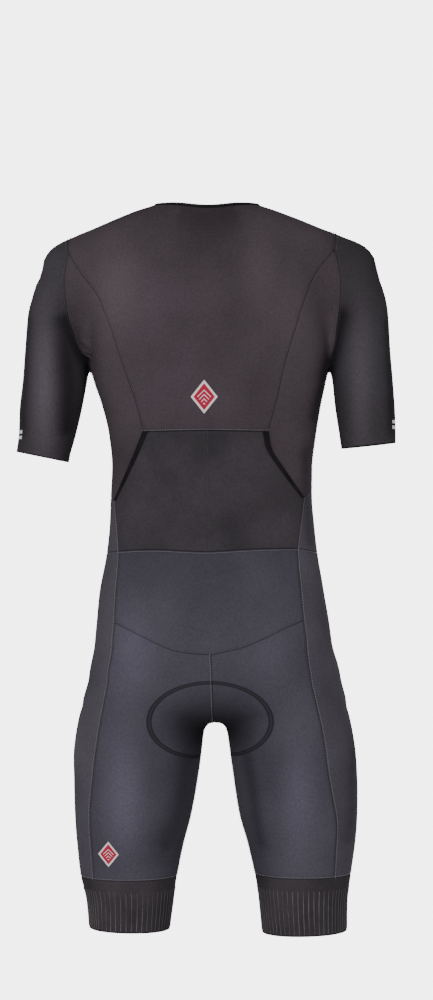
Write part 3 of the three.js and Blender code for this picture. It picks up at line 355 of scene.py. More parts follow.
print("depth at the seat:", round(float(on_back(-60, -650)[1]), 1), "mm")


# %% [markdown]
# ## Seams
#
# Every panel ends at a seam, and two panels that meet share it. So the seams come first, each
# a smooth line through a few points on the form. The numbers are places on the real suit, on
# its own left and right, as the pose turns it a little.

# %% Draw a seam
FINE = 4


def spline(points, places):
    """A centripetal spline through the points, at even fractions of its length."""
    p = np.array(points, float)
    ends = np.vstack([2 * p[0] - p[1], p, 2 * p[-1] - p[-2]])
    n = len(p) - 1
    at = np.linspace(0, n, 401)
    k = np.minimum(at.astype(int), n - 1)
    w = (at - k)[:, None]
    a, b, c, d = (ends[k + i] for i in range(4))
    gap = [np.maximum(np.linalg.norm(q - r, axis=1), 1e-6)[:, None] ** 0.5
           for r, q in ((a, b), (b, c), (c, d))]
    before = ((b - a) / gap[0] - (c - a) / (gap[0] + gap[1]) + (c - b) / gap[1]) * gap[1]
    after = ((c - b) / gap[1] - (d - b) / (gap[1] + gap[2]) + (d - c) / gap[2]) * gap[1]
    line = (b + before * w + (3 * c - 3 * b - 2 * before - after) * w ** 2
            + (2 * b - 2 * c + before + after) * w ** 3)
    length = np.concatenate([[0], np.cumsum(np.linalg.norm(np.diff(line, axis=0), axis=1))])
    return np.stack([np.interp(places, length / length[-1], line[:, i]) for i in range(3)], 1)


def seam(points, segments, fractions=None):
    coarse = np.linspace(0, 1, segments + 1) if fractions is None else np.array(fractions)
    places = np.interp(np.arange(segments * FINE + 1) / FINE, np.arange(segments + 1), coarse)
    line = spline(points, places)
    line[1:-1] = project(line[1:-1])
    line[0], line[-1] = points[0], points[-1]
    return line


def round_seam(curves, start, end, sign, segments):
    """A seam that follows a limb or the waist round, at a turning angle."""
    def angle_of(p):
        return math.atan2(p[1] - float(curves["y"](p[2])), p[0] - float(curves["x"](p[2])))
    turn = (angle_of(end) - angle_of(start)) * sign % (2 * math.pi)
    t = np.linspace(0, 1, segments * FINE + 1)
    angle = angle_of(start) + sign * turn * t
    z = start[2] + (end[2] - start[2]) * t
    middle = np.stack([curves["x"](z), curves["y"](z), z], 1)
    line = cast(middle, np.stack([np.cos(angle), np.sin(angle), 0 * t], 1))
    line[0], line[-1] = start, end
    return line


def join(*parts):
    return np.vstack([parts[0]] + [part[1:] for part in parts[1:]])


# %% Places on the suit
PLACES = {
    "left": dict(shoulder_tip=186, junction=(187.5, -70), armpit=159.5, pocket_top=(85.5, -312),
                 slant_end=(125, -405), pocket_bottom=(119, -473), insert_top=-399, waist=-479,
                 side_seam=-20, yoke_end=(124.5, -569), gripper_top=-918, gripper_back=153,
                 gripper_front=145, hem=(-989, -991), cuff=(-338, -353), front_seam=112),
    "right": dict(shoulder_tip=168, junction=(173, -64), armpit=168, pocket_top=(82, -312),
                  slant_end=(131, -401), pocket_bottom=(122, -469), insert_top=-380, waist=-477,
                  side_seam=2, yoke_end=(130, -566), gripper_top=-915, gripper_back=172,
                  gripper_front=166, hem=(-993, -996), cuff=(-326, -334), front_seam=128),
}
# Height, then the distance from the middle on the suit's own left and right
BACK_ARMHOLE = [(-84, 190, 177), (-100, 192, 180), (-125, 191, 180.5), (-150, 188, 178),
                (-172, 182, 175), (-192, 174, 173)]
FRONT_ARMHOLE = [(-185, 168, 174), (-155, 171, 178), (-125, 174, 182), (-95, 176, 184),
                 (-66, 176, 184)]
PRINCESS = [(-98, 170, 147), (-120, 153, 137), (-145, 140.5, 128), (-175, 129, 119),
            (-220, 114, 105), (-265, 98, 95)]
POCKET_SLANT = [(-335, 95, 86.5), (-361, 106, 103), (-384, 116, 119)]
SIDE_UPPER = [(-520, 122, 126)]
SIDE_BACK = [(-593, 126.5, 133.5), (-637, 132, 138), (-685, 139.5, 148), (-725, 146.5, 156.5),
             (-765, 152, 162), (-800, 156, 168), (-837, 158, 174.5), (-880, 155.5, 173.5)]
SIDE_FRONT = [(-520, 116, 131), (-580, 121, 135), (-640, 128, 142), (-700, 137, 152),
              (-765, 144, 161), (-840, 149, 169), (-880, 148, 169)]
YOKE = {"left": [(86, -587), (43, -605)], "right": [(-50, -600), (-76, -589.5), (-103, -577)]}
YOKE_MIDDLE = (-5.7, -610.5)
ZIP_MIDDLE = [(-12, -370), (-8, -260), (-4, -160)]
CHEST_LINE = [(50, -226), (98, -242), (130, -258)]
CROTCH = (-9.6, 4)
NECK_FRONT = (-1, -86, -70)
WAIST_FRONT = (-15, -471)
ZIP_WIDTH = 10
BINDING_WIDTH = 6
NECK_BINDING_HEIGHT = 5


def along(rows, side, place):
    column = 1 if side == "left" else 2
    return [place(SIGN[side] * row[column], row[0]) for row in rows]


# %% Corners where several panels meet
def side_corners(side):
    s, sign = PLACES[side], SIGN[side]

    def back(place):
        return on_back(sign * place[0], place[1])
    return {
        "neck_side": climb(project((sign * 70, 0, 1)), -NECK_BINDING_HEIGHT),
        "shoulder_tip": cast((sign * s["shoulder_tip"], -2, 90), (0, 0, -1)),
        "junction": back(s["junction"]),
        "armpit": cast((sign * s["armpit"], 0, -300), (0, 0, 1)),
        "pocket_top": back(s["pocket_top"]),
        "slant_end": back(s["slant_end"]),
        "pocket_bottom": back(s["pocket_bottom"]),
        "insert_top": on_flank(side, s["side_seam"], s["insert_top"]),
        "waist_side": on_flank(side, s["side_seam"], s["waist"]),
        "front_seam": on_front(sign * s["front_seam"], -474),
        "yoke_end": back(s["yoke_end"]),
        "gripper_back": on_back(sign * s["gripper_back"], s["gripper_top"]),
        "gripper_front": on_front(sign * s["gripper_front"], s["gripper_top"]),
        "gripper_inner": cast((float(leg_curves[side]["x"](s["gripper_top"])), 0,
                               s["gripper_top"]), (-sign, 0, 0)),
        "zip_top": project((NECK_FRONT[0] + sign * ZIP_WIDTH / 2, *NECK_FRONT[1:])),
        "zip_bottom": on_front(WAIST_FRONT[0] + sign * ZIP_WIDTH / 2, WAIST_FRONT[1]),
    }


corners = {side: side_corners(side) for side in SIGN}
yoke_middle = on_back(*YOKE_MIDDLE)
crotch = cast((*CROTCH, -790), (0, 0, 1))
waist_front = on_front(*WAIST_FRONT)
print("crotch at", np.round(crotch, 1), "mm")


# %% Seams of each side
def side_seams(side):
    s, sign, c = PLACES[side], SIGN[side], corners[side]
    turn = s["side_seam"]
    flank = [on_flank(side, turn * float(smoothstep(-z, 240, 320)), z) for z in (-270, -310, -350)]
    inner = [cast((CROTCH[0], y, z), (sign, 0, 0)) for y, z in ((4, -735), (2, -790), (-2, -850))]
    pit = [cast((sign * s["armpit"], y, -300), (0, 0, 1)) for y in (26, -26)]
    waist_side, waist_back = c["waist_side"], c["pocket_bottom"]
    neck = [climb(project((sign * x, y, z)), -NECK_BINDING_HEIGHT)
            for x, y, z in ((58, -38, -14), (36, -68, -44))]
    return {
        "shoulder": seam([c["neck_side"], project((sign * 128, -3, -22)), c["shoulder_tip"]], 4),
        "armhole_tip": seam([c["shoulder_tip"], c["junction"]], 2),
        "armhole_back": seam([c["junction"], *along(BACK_ARMHOLE, side, on_back), pit[0],
                              c["armpit"]], 7),
        "armhole_front": seam([c["armpit"], pit[1], *along(FRONT_ARMHOLE, side, on_front),
                               c["shoulder_tip"]], 9),
        "princess": seam([c["junction"], *along(PRINCESS, side, on_back), c["pocket_top"]], 9),
        "slant": seam([c["pocket_top"], *along(POCKET_SLANT, side, on_back), c["slant_end"]], 4),
        "pocket_lower": seam([c["slant_end"], waist_back], 3),
        "side_seam": seam([c["armpit"], *flank, c["insert_top"]], 13),
        "insert_side": seam([c["insert_top"], waist_side], 3),
        "insert_top": round_seam(torso_curves, c["slant_end"], c["insert_top"], -sign, 7),
        "waist_insert": round_seam(torso_curves, waist_back, waist_side, -sign, 7),
        "waist_front_side": round_seam(torso_curves, waist_side, c["front_seam"], -sign, 2),
        "waist_front": round_seam(torso_curves, c["front_seam"], c["zip_bottom"], -sign, 6),
        "neck_front": seam([c["neck_side"], *neck, c["zip_top"]], 4),
        "side_top": seam([waist_back, *along(SIDE_UPPER, side, on_back), c["yoke_end"]], 4),
        "side_back": seam([c["yoke_end"], *along(SIDE_BACK, side, on_back),
                           c["gripper_back"]], 14),
        "side_front": seam([c["front_seam"], *along(SIDE_FRONT, side, on_front),
                            c["gripper_front"]], 18),
        "inseam": seam([crotch, *inner, c["gripper_inner"]], 8),
        "gripper_back": round_seam(leg_curves[side], c["gripper_back"], c["gripper_inner"],
                                   sign, 8),
        "gripper_side": round_seam(leg_curves[side], c["gripper_back"], c["gripper_front"],
                                   -sign, 9),
        "gripper_front": round_seam(leg_curves[side], c["gripper_front"], c["gripper_inner"],
                                    -sign, 7),
        "zip_edge": seam([c["zip_bottom"], *[on_front(x + sign * ZIP_WIDTH / 2, z)
                                            for x, z in ZIP_MIDDLE], c["zip_top"]], 25),
    }


seams = {side: side_seams(side) for side in SIGN}
left, right = seams["left"], seams["right"]
print("seams on each side:", len(left))


# %% Seams across the middle
def pocket_fractions(a, b):
    edge = BINDING_WIDTH / np.linalg.norm(a - b)
    return [0, *np.linspace(edge, 1 - edge, 15), 1]


cl, cr = corners["left"], corners["right"]
NECKLINE = [(67.4, 27, -0.9), (51, 48.6, -1.4), None, (-51, 48.6, -1.4), (-67.4, 27, -0.9)]
neck_back = seam([cl["neck_side"], *[climb(project(p), -NECK_BINDING_HEIGHT) if p else
                                     on_back(-1, -10) for p in NECKLINE], cr["neck_side"]], 8)
pocket_top = seam([cl["pocket_top"], on_back(2, -311), cr["pocket_top"]], 16,
                  pocket_fractions(cl["pocket_top"], cr["pocket_top"]))
waist_back = seam([cl["pocket_bottom"], on_back(71, -470.5), on_back(3, -473),
                   on_back(-59, -470), cr["pocket_bottom"]], 16,
                  pocket_fractions(cl["pocket_bottom"], cr["pocket_bottom"]))
yoke_left = seam([cl["yoke_end"], *[on_back(*p) for p in YOKE["left"]], yoke_middle], 8)
yoke_right = seam([yoke_middle, *[on_back(*p) for p in YOKE["right"]], cr["yoke_end"]], 8)
centre_back = seam([yoke_middle, on_back(-7, -645), on_back(-8.5, -682),
                    cast((CROTCH[0], 50, -790), (0, 0, 1)), crotch], 6)
centre_front = seam([waist_front, on_front(-13, -560), on_front(-11, -630), on_front(-10, -672),
                     cast((CROTCH[0], -40, -790), (0, 0, 1)), crotch], 10)
print("neckline at the back:", len(neck_back), "points")


# %% [markdown]
# ## Panels
#
# A panel is filled in between its four seams and laid on the form. Its rim dips a little, as
# flat seams pull the cloth down, and soft creases are added where the real suit has them: each
# is a short line with a width and a depth. The wall is thin, like the real knit.

# %% Fill a panel in between four seams
RIM_STEPS = (1.0, 2.4)


def refine(line, extra):
    """The line at the given places, counted in its points."""
    k = np.arange(len(line))
    return np.stack([np.interp(extra, k, line[:, i]) for i in range(3)], 1)


def rim_places(*lines):
    """Point numbers along a side, with a few more close to both ends."""
    n = len(lines[0]) - 1
    first = min(np.linalg.norm(line[1] - line[0]) for line in lines)
    last = min(np.linalg.norm(line[-1] - line[-2]) for line in lines)
    start = [step / first for step in RIM_STEPS if step < 0.8 * first]
    end = [n - step / last for step in RIM_STEPS if step < 0.8 * last]
    return np.array(sorted([*range(n + 1), *start, *end]))


def fractions_of(line):
    sums = np.concatenate([[0], np.cumsum(np.linalg.norm(np.diff(line, axis=0), axis=1))])
    return sums / sums[-1]


def fill(bottom, top, start, end, across=None):
    """A grid of points on the form between four seams; start and end run from bottom to top."""
    across = rim_places(bottom, top) if across is None else across
    up = rim_places(start, end)
    bottom, top = refine(bottom, across), refine(top, across)
    start, end = refine(start, up), refine(end, up)
    u = ((fractions_of(bottom) + fractions_of(top)) / 2)[None, :, None]
    v = ((fractions_of(start) + fractions_of(end)) / 2)[:, None, None]
    grid = (bottom[None] * (1 - v) + top[None] * v + start[:, None] * (1 - u) + end[:, None] * u
            - bottom[0] * (1 - u) * (1 - v) - bottom[-1] * u * (1 - v)
            - top[0] * (1 - u) * v - top[-1] * u * v)
    grid[0], grid[-1], grid[:, 0], grid[:, -1] = bottom, top, start, end
    return project(grid, 5)


# %% Creases, given one by one
# Side of the suit, width and depth in mm (below zero for a trough), then places across and up
CREASES = [
    ("back", 9, -0.9, [(160, -215), (140, -232), (118, -240)]),
    ("back", 8, 0.8, [(158, -228), (140, -246), (120, -256)]),
    ("back", 9, -0.8, [(-166, -218), (-146, -238), (-124, -250)]),
    ("back", 8, 0.7, [(-160, -236), (-142, -254), (-126, -262)]),
    ("back", 10, -0.7, [(112, -428), (70, -436), (30, -431)]),
    ("back", 9, 0.7, [(104, -441), (60, -450), (20, -446)]),
    ("back", 10, -0.8, [(-116, -424), (-80, -434), (-36, -430)]),
    ("back", 9, 0.7, [(-110, -440), (-70, -449), (-30, -445)]),
    ("back", 12, -0.8, [(118, -492), (80, -500), (40, -497)]),
    ("back", 12, -0.8, [(-122, -490), (-84, -499), (-50, -496)]),
    ("back", 11, -1.0, [(110, -742), (80, -752), (48, -754)]),
    ("back", 11, -1.0, [(-128, -742), (-96, -754), (-62, -756)]),
    ("back", 9, 0.8, [(104, -764), (76, -772), (50, -770)]),
    ("back", 9, 0.7, [(-122, -766), (-92, -774), (-66, -772)]),
    ("back", 8, -0.6, [(60, -858), (90, -866), (124, -862)]),
    ("back", 8, -0.6, [(-88, -856), (-118, -864), (-150, -858)]),
    ("front", 12, -1.0, [(110, -498), (70, -508), (24, -505)]),
    ("front", 12, -0.9, [(-128, -495), (-88, -506), (-44, -503)]),
    ("front", 10, -1.0, [(130, -205), (112, -226), (86, -240)]),
    ("front", 10, -0.9, [(-138, -208), (-118, -230), (-92, -243)]),
    ("front", 10, -1.2, [(70, -640), (40, -664), (14, -676)]),
    ("front", 10, -1.1, [(-92, -638), (-60, -662), (-32, -674)]),
    ("front", 9, 0.8, [(84, -664), (56, -686), (30, -698)]),
    ("front", 9, 0.8, [(-104, -660), (-74, -684), (-48, -696)]),
]
crease_lines = []
for face, width, depth, route in CREASES:
    place = on_back if face == "back" else on_front
    crease_lines.append((width, depth, spline([place(x, z) for x, z in route],
                                              np.linspace(0, 1, 13))))
print("creases:", len(crease_lines))


def crease_relief(p):
    """How far the cloth stands out or in at each point, in mm."""
    relief = np.zeros(p.shape[:-1])
    for width, depth, line in crease_lines:
        low, high = line.min(0) - 3 * width, line.max(0) + 3 * width
        near = ((p > low) & (p < high)).all(-1)
        if not near.any():
            continue
        gap = np.linalg.norm(p[near][:, None] - line[None], axis=-1)
        k = gap.argmin(1)
        fade = np.sin(np.pi * np.clip((k + 0.5) / len(line), 0, 1)) ** 0.7
        relief[near] += depth * fade * np.exp(-(gap.min(1) / width) ** 2)
    return relief


# %% Painted highlights: places where the cloth is painted lighter, where light falls on it most
# Side of the suit, place across and up, reach across and up in mm, and amount
PAINTED_HIGHLIGHTS = [
    ("back", 122, -122, 36, 72, 1.0), ("back", -72, -100, 26, 52, 0.6),
    ("back", -116, -150, 24, 60, 0.5), ("back", 150, -300, 16, 90, 0.5),
    ("back", 100, -606, 34, 56, 0.8), ("back", -84, -610, 30, 50, 0.4),
    ("back", 110, -800, 28, 92, 0.95), ("back", -124, -800, 26, 92, 0.8),
    ("back", 219, -250, 18, 100, 0.8), ("back", -207, -250, 15, 90, 0.5),
    ("front", 80, -150, 40, 60, 0.5), ("front", -80, -150, 40, 60, 0.5),
    ("front", 110, -760, 30, 120, 0.7), ("front", -122, -760, 30, 120, 0.7),
    ("front", 217, -230, 15, 90, 0.7), ("front", -207, -230, 15, 90, 0.7),
]


# Hollows that little light reaches: side of the suit, width in mm, amount, then a short line
SHADED = [
    ("back", 15, 0.7, [(192, -165), (190, -210), (188, -250), (192, -320)]),
    ("back", 13, 0.5, [(-166, -205), (-155, -245), (-142, -300)]),
    ("back", 10, 0.5, [(-243, -150), (-248, -230), (-251, -320)]),
    ("back", 10, 0.5, [(240, -150), (246, -230), (251, -320)]),
    ("back", 22, 0.45, [(26, -740), (34, -800), (60, -880)]),
    ("back", 20, 0.4, [(-186, -640), (-200, -740), (-190, -880)]),
    ("back", 12, 0.45, [(-52, -740), (-62, -800), (-76, -880)]),
    ("back", 12, 0.35, [(-134, -330), (-134, -400), (-140, -470)]),
    ("back", 26, 0.35, [(40, -14), (0, -20), (-44, -14)]),
    ("front", 22, 0.5, [(26, -740), (34, -800), (60, -880)]),
    ("front", 22, 0.5, [(-50, -740), (-60, -800), (-78, -880)]),
]
shaded_lines = []
for face, width, share, route in SHADED:
    where = on_back if face == "back" else on_front
    points = np.stack([where(x, z) for x, z in route])
    shaded_lines.append(("", width, share, project(spline(points, np.linspace(0, 1, 25)))))
# Painted shade on the sleeve, darkest where it turns in below the shoulder, right beside its seam
for side, width in (("left", 17), ("right", 13)):
    s = seams[side]
    for name, part in (("back", s["armhole_back"][::-1]), ("front", s["armhole_front"])):
        beside_seam = part + (SIGN[side] * 5, 0, -5)
        places = np.linspace(0, 1, 25) ** 0.9 * 0.6
        shaded_lines.append((f"sleeve_{side}", width, 0.85, project(spline(beside_seam, places))))


def shade_of(p, name):
    amount = np.zeros(p.shape[:-1])
    for only, width, share, line in shaded_lines:
        if not name.startswith(only):
            continue
        low, high = line.min(0) - 2.5 * width, line.max(0) + 2.5 * width
        near = ((p > low) & (p < high)).all(-1)
        if near.any():
            gap = np.linalg.norm(p[near][:, None] - line[None], axis=-1)
            k = gap.argmin(1)
            ends = np.clip(np.minimum(k, len(line) - 1 - k) / 2.0 + 0.25, 0, 1)
            amount[near] = np.maximum(amount[near],
                                      share * ends * np.exp(-(gap.min(1) / width) ** 2))
    return amount


# How much painted highlight each point gets, from the table above
def painted_highlight_of(p):
    amount = np.zeros(p.shape[:-1])
    for face, x, z, across, up, share in PAINTED_HIGHLIGHTS:
        side = smoothstep(p[..., 1] * (1 if face == "back" else -1), -5, 25)
        amount += side * share * np.exp(-((p[..., 0] - x) / across) ** 2
                                        - ((p[..., 2] - z) / up) ** 2)
    return np.minimum(amount, 1)


# %% Turn a grid into a thin cloth shell
WALL = 1.0
SEAM_DIP = 0.55
SEAM_DIP_WIDTH = 1.7
cloth_pieces = {}


def lengths_along(grid, axis):
    step = np.linalg.norm(np.diff(grid, axis=axis), axis=-1)
    pad = [(0, 0), (0, 0)]
    pad[axis] = (1, 0)
    return np.cumsum(np.pad(step, pad), axis=axis)


def shell(name, grid, closed=False, lift=0.0, wall=WALL, dip=(1, 1, 1, 1), extra=0.0,
          cut_edge=None):
    """dip says which rims are sewn: bottom, top, start, end; cut_edge names one that isn't."""
    looped = np.concatenate([grid, grid[:, :1]], axis=1) if closed else grid
    across, up = lengths_along(looped, 1), lengths_along(looped, 0)
    far = 1e3
    rims = [up if dip[0] else far + 0 * up, up[-1:] - up if dip[1] else far + 0 * up]
    if not closed:
        rims += [across if dip[2] else far + 0 * across,
                 across[:, -1:] - across if dip[3] else far + 0 * across]
    edge = np.minimum.reduce(rims)[:, :grid.shape[1]]
    free = {"bottom": up, "top": up[-1:] - up}.get(cut_edge, far + 0 * up)[:, :grid.shape[1]]
    normals = outward(grid)
    relief = crease_relief(grid) * smoothstep(edge, 0, 14) + extra
    relief = relief - SEAM_DIP * np.exp(-(edge / SEAM_DIP_WIDTH) ** 2)
    outer = grid + normals * (lift + relief)[..., None]
    inner = outer - normals * wall
    rows, columns = grid.shape[:2]
    uv = np.stack([across - across[:, -1:] / 2, up], -1) * MM
    j, i = np.meshgrid(np.arange(rows - 1), np.arange(columns if closed else columns - 1),
                       indexing="ij")
    corners_of = [(j, i), (j, i + 1), (j + 1, i + 1), (j + 1, i)]
    quad = np.stack([a * columns + b % columns for a, b in corners_of], -1).reshape(-1, 4)
    quad_uv = np.stack([uv[a, b] for a, b in corners_of], -2).reshape(-1, 4, 2)
    size = rows * columns
    facing = np.cross(outer[1:, :1] - outer[:-1, :1], outer[:-1, 1:2] - outer[:-1, :1])
    if (facing * normals[:-1, :1]).sum() > 0:
        quad, quad_uv = quad[:, ::-1], quad_uv[:, ::-1]
    faces = [quad, quad[:, ::-1] + size]
    uvs = [quad_uv, quad_uv[:, ::-1]]
    edges_used = np.concatenate([quad[:, [k, (k + 1) % 4]] for k in range(4)])
    edge_uv = np.concatenate([quad_uv[:, [k, (k + 1) % 4]] for k in range(4)])
    keys = np.sort(edges_used, axis=1)
    _, first, count = np.unique(keys[:, 0] * size + keys[:, 1], return_index=True,
                                return_counts=True)
    rim = first[count == 1]
    a, b = edges_used[rim].T
    faces.append(np.stack([b, a, a + size, b + size], 1))
    uvs.append(edge_uv[rim][:, [1, 0, 0, 1]])
    # Per point: distance from sewn rims and cut hems, painted highlight and painted shade
    return build_mesh(name, np.concatenate([outer.reshape(-1, 3), inner.reshape(-1, 3)]) * MM,
                      np.concatenate(faces), np.concatenate(uvs),
                      {"edge": np.tile(edge.ravel() * MM, 2),
                       "hem": np.tile(free.ravel() * MM, 2),
                       "painted_highlight": np.tile(painted_highlight_of(grid).ravel(), 2),
                       "shaded": np.tile(shade_of(grid, name).ravel(), 2)})


def build_mesh(name, points, faces, uvs=None, values=None):
    mesh = bpy.data.meshes.new(name)
    mesh.vertices.add(len(points))
    mesh.vertices.foreach_set("co", np.asarray(points, np.float32).ravel())
    sides = faces.shape[1]
    mesh.loops.add(faces.size)
    mesh.loops.foreach_set("vertex_index", faces.astype(np.int32).ravel())
    mesh.polygons.add(len(faces))
    mesh.polygons.foreach_set("loop_start", np.arange(0, faces.size, sides, dtype=np.int32))
    if uvs is not None:
        layer = mesh.uv_layers.new(name="cloth")
        layer.uv.foreach_set("vector", np.asarray(uvs, np.float32).ravel())
    for key, value in (values or {}).items():
        attribute = mesh.attributes.new(key, "FLOAT", "POINT")
        attribute.data.foreach_set("value", np.asarray(value, np.float32))
    mesh.update(calc_edges=True)
    mesh.validate()
    mesh.shade_smooth()
    mesh.set_sharp_from_angle(angle=math.radians(55))
    made = bpy.data.objects.new(name, mesh)
    bpy.context.scene.collection.objects.link(made)
    return made


def cloth(node, grid, material_slot, held_on, cut=(1, 1), **options):
    """Builds the shell of one cut piece and ties it to its place in the frame; cut would say how
    many times wider and longer the piece is cut than what shows, where it is folded or tucked
    in, but it is not used."""
    made = shell(node + "_cloth", grid, **options)
    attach(made, "suit")
    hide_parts(node)
    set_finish(made, material_slot)
    cloth_pieces[node] = made
    return made


# %% [markdown]
# ## The upper body
#
# The back is one sheer panel between two long seams that run from the armholes to the pocket.
# Below it lies a flat pocket on its own inner wall, with bound slanted openings, and at each
# side a smaller panel. The front is hidden in the photograph, so it is plain: two fronts and
# a zip.

# %% Back, pocket and side panels
def back_side(s):
    return join(s["armhole_tip"], s["princess"])[::-1]


back_top = join(left["shoulder"][::-1], neck_back, right["shoulder"])
back_grid = fill(pocket_top, back_top, back_side(left), back_side(right))
cloth("back_upper", back_grid, "sheer_knit", "side_back_left")
pocket_grid = fill(waist_back, pocket_top, join(left["slant"], left["pocket_lower"])[::-1],
                   join(right["slant"], right["pocket_lower"])[::-1])
cloth("pocket_inner", pocket_grid, "sheer_knit", "back_yoke")
cloth("pocket", pocket_grid, "pocket_knit", "pocket_inner", lift=1.1, wall=0.8)
binding_rows = pocket_grid[-(4 * FINE + 1 + len(RIM_STEPS)):]
band = FINE + 1 + len(RIM_STEPS)
BINDING_TAPER = (0.5, 0.95)


def binding_grid(rows, outer_column):
    """The band keeps its outer edge and gets narrower downwards."""
    edge = rows[:, outer_column][:, None]
    share = np.linspace(*BINDING_TAPER, len(rows))[:, None, None]
    return project(edge + (rows - edge) * share)


cloth("pocket_binding_left", binding_grid(binding_rows[:, :band], 0), "elastic_binding", "pocket",
      cut=(1.95, 1), lift=2.2, wall=0.8, dip=(0, 0, 0, 0))
cloth("pocket_binding_right", binding_grid(binding_rows[:, -band:], -1), "elastic_binding",
      "pocket", cut=(1.95, 1), lift=2.2, wall=0.8, dip=(0, 0, 0, 0))
for side, s in seams.items():
    cloth(f"side_back_{side}", fill(s["insert_top"], s["armhole_back"],
                                    join(s["princess"], s["slant"])[::-1],
                                    s["side_seam"][::-1]), "sheer_knit", "back_upper")
    cloth(f"side_insert_{side}", fill(s["waist_insert"], s["insert_top"],
                                      s["pocket_lower"][::-1], s["insert_side"][::-1]),
          "side_panel_knit", "pocket_inner")

# %% Fronts and the zip's tape
for side, s in seams.items():
    place, sign = corners[side], SIGN[side]
    below = 16 * FINE
    chest = seam([s["zip_edge"][below], *[on_front(sign * x, z) for x, z in CHEST_LINE],
                  on_flank(side, -40, -262), place["armpit"]], 8)
    across = rim_places(chest)
    lower = fill(join(s["waist_front_side"], s["waist_front"])[::-1], chest,
                 s["zip_edge"][:below + 1], join(s["insert_side"][::-1], s["side_seam"][::-1]),
                 across)
    upper = fill(chest, join(s["neck_front"][::-1], s["shoulder"]), s["zip_edge"][below:],
                 s["armhole_front"], across)
    cloth(f"front_{side}", np.concatenate([lower, upper[1:]]), "sheer_knit", "zip_tape")
tape_grid = fill(np.linspace(cl["zip_bottom"], cr["zip_bottom"], 5),
                 np.linspace(cl["zip_top"], cr["zip_top"], 5), left["zip_edge"], right["zip_edge"])
cloth("zip_tape", tape_grid, "zip_tape", "front_left", cut=(2.4, 1), extra=0.2)


# %% Neck bindings
def neck_band(line):
    return np.stack([climb(line, NECK_BINDING_HEIGHT * t) for t in np.linspace(0, 1, 5)])


half = len(neck_back) // 2
for side, s in seams.items():
    back_half = neck_back[:half + 1] if side == "left" else neck_back[half:][::-1]
    cloth(f"neck_binding_{side}", neck_band(join(s["neck_front"][::-1], back_half)),
          "elastic_binding", "back_upper", cut=(1, 2.6), dip=(1, 0, 0, 0), extra=0.1,
          cut_edge="top")

# %% Sleeves: one tube each, from the armhole to the cuff
SLEEVE_TOP = (186, -146)
SLEEVE_ROWS = 44


def turned(start, end, share):
    """Directions turned from start towards end by a share of the angle."""
    angle = np.arccos(np.clip((start * end).sum(-1, keepdims=True), -1, 1))
    angle = np.maximum(angle, 1e-6)
    return (np.sin((1 - share) * angle) * start + np.sin(share * angle) * end) / np.sin(angle)


def sleeve_grid(side):
    s, sign, curves = seams[side], SIGN[side], arm_curves[side]
    ring = join(s["armhole_tip"], s["armhole_back"], s["armhole_front"])[:-1]
    half = len(ring) // 2
    turn = np.concatenate([fractions_of(ring[:half + 1])[:-1] / 2,
                           0.5 + fractions_of(np.vstack([ring[half:], ring[:1]]))[:-1] / 2])
    angle = 2 * np.pi * turn
    outer, inner = PLACES[side]["cuff"]
    middle = (outer + inner) / 2
    top = np.array([sign * SLEEVE_TOP[0], 0, SLEEVE_TOP[1]])
    cuff = np.array([float(curves["x"](middle)), float(curves["y"](middle)), middle])
    slope = (outer - inner) / (2 * float(curves["half"](middle)))
    end = np.stack([sign * np.cos(angle), np.sin(angle), slope * np.cos(angle)], 1)
    end /= np.linalg.norm(end, axis=1, keepdims=True)
    start = ring - top
    start /= np.linalg.norm(start, axis=1, keepdims=True)
    rows = [ring]
    steps = np.concatenate([np.array(RIM_STEPS) / 210, np.linspace(0, 1, SLEEVE_ROWS + 1)[1:]])
    for t in steps:
        rows.append(cast(top + (cuff - top) * t, turned(start, end, smoothstep(t, 0, 1))))
    return np.stack(rows)


for side in SIGN:
    cloth(f"sleeve_{side}", sleeve_grid(side), "sleeve_knit", f"side_back_{side}", closed=True,
          dip=(1, 0, 0, 0), cut_edge="top")

# %% [markdown]
# ## The shorts
#
# Below the waist seam the cloth is a firmer knit. A yoke crosses the seat above a curved seam;
# under it each leg is a back panel, a side panel and a front panel, and ends in a wide ribbed
# gripper. A pad is sewn inside the seat; its oval edge draws the cloth in and is darkened with
# painted shade.

# %% Yoke and legs
cloth("back_yoke", fill(join(yoke_left, yoke_right), waist_back, left["side_top"][::-1],
                        right["side_top"][::-1]), "shorts_knit", "back_leg_left")
PAD = dict(x=-4.5, z=-700, half_width=81.5, half_height=53)


def pad_reach(p):
    """0 at the middle of the pad's oval, 1 on its edge, as seen from behind."""
    return np.hypot((p[..., 0] - PAD["x"]) / PAD["half_width"],
                    (p[..., 2] - PAD["z"]) / PAD["half_height"])


def pad_crown(p):
    """The pad fills the cloth out a little, and its edge draws it in."""
    reach = pad_reach(p)
    behind = smoothstep(p[..., 1], 0, 40)
    crown = 1.4 * (1 - smoothstep(reach, 0.6, 0.98))
    return behind * (crown - 1.0 * np.exp(-((reach - 1) / 0.05) ** 2))


yoke_half = {"left": yoke_left, "right": yoke_right[::-1]}
leg_grids = {}
for side, s in seams.items():
    place = corners[side]
    zip_half = np.linspace(place["zip_bottom"], waist_front, FINE + 1)
    back_leg = fill(s["gripper_back"], yoke_half[side], s["side_back"][::-1],
                    join(centre_back, s["inseam"])[::-1])
    front_leg = fill(s["gripper_front"], join(s["waist_front"], zip_half), s["side_front"][::-1],
                     join(centre_front, s["inseam"])[::-1])
    leg_grids[side] = (back_leg, front_leg)
    cloth(f"back_leg_{side}", back_leg, "shorts_knit", f"side_leg_{side}",
          extra=pad_crown(back_leg))
    cloth(f"front_leg_{side}", front_leg, "shorts_knit", f"side_leg_{side}")
    cloth(f"side_leg_{side}", fill(s["gripper_side"], join(s["waist_insert"],
                                                           s["waist_front_side"]),
                                   join(s["side_top"], s["side_back"])[::-1],
                                   s["side_front"][::-1]), "side_panel_knit",
          f"gripper_{side}")

# %% Grippers
GRIPPER_ROWS = 14


def gripper_ring(side):
    s = seams[side]
    return join(s["gripper_back"], s["gripper_front"][::-1], s["gripper_side"][::-1])[:-1]


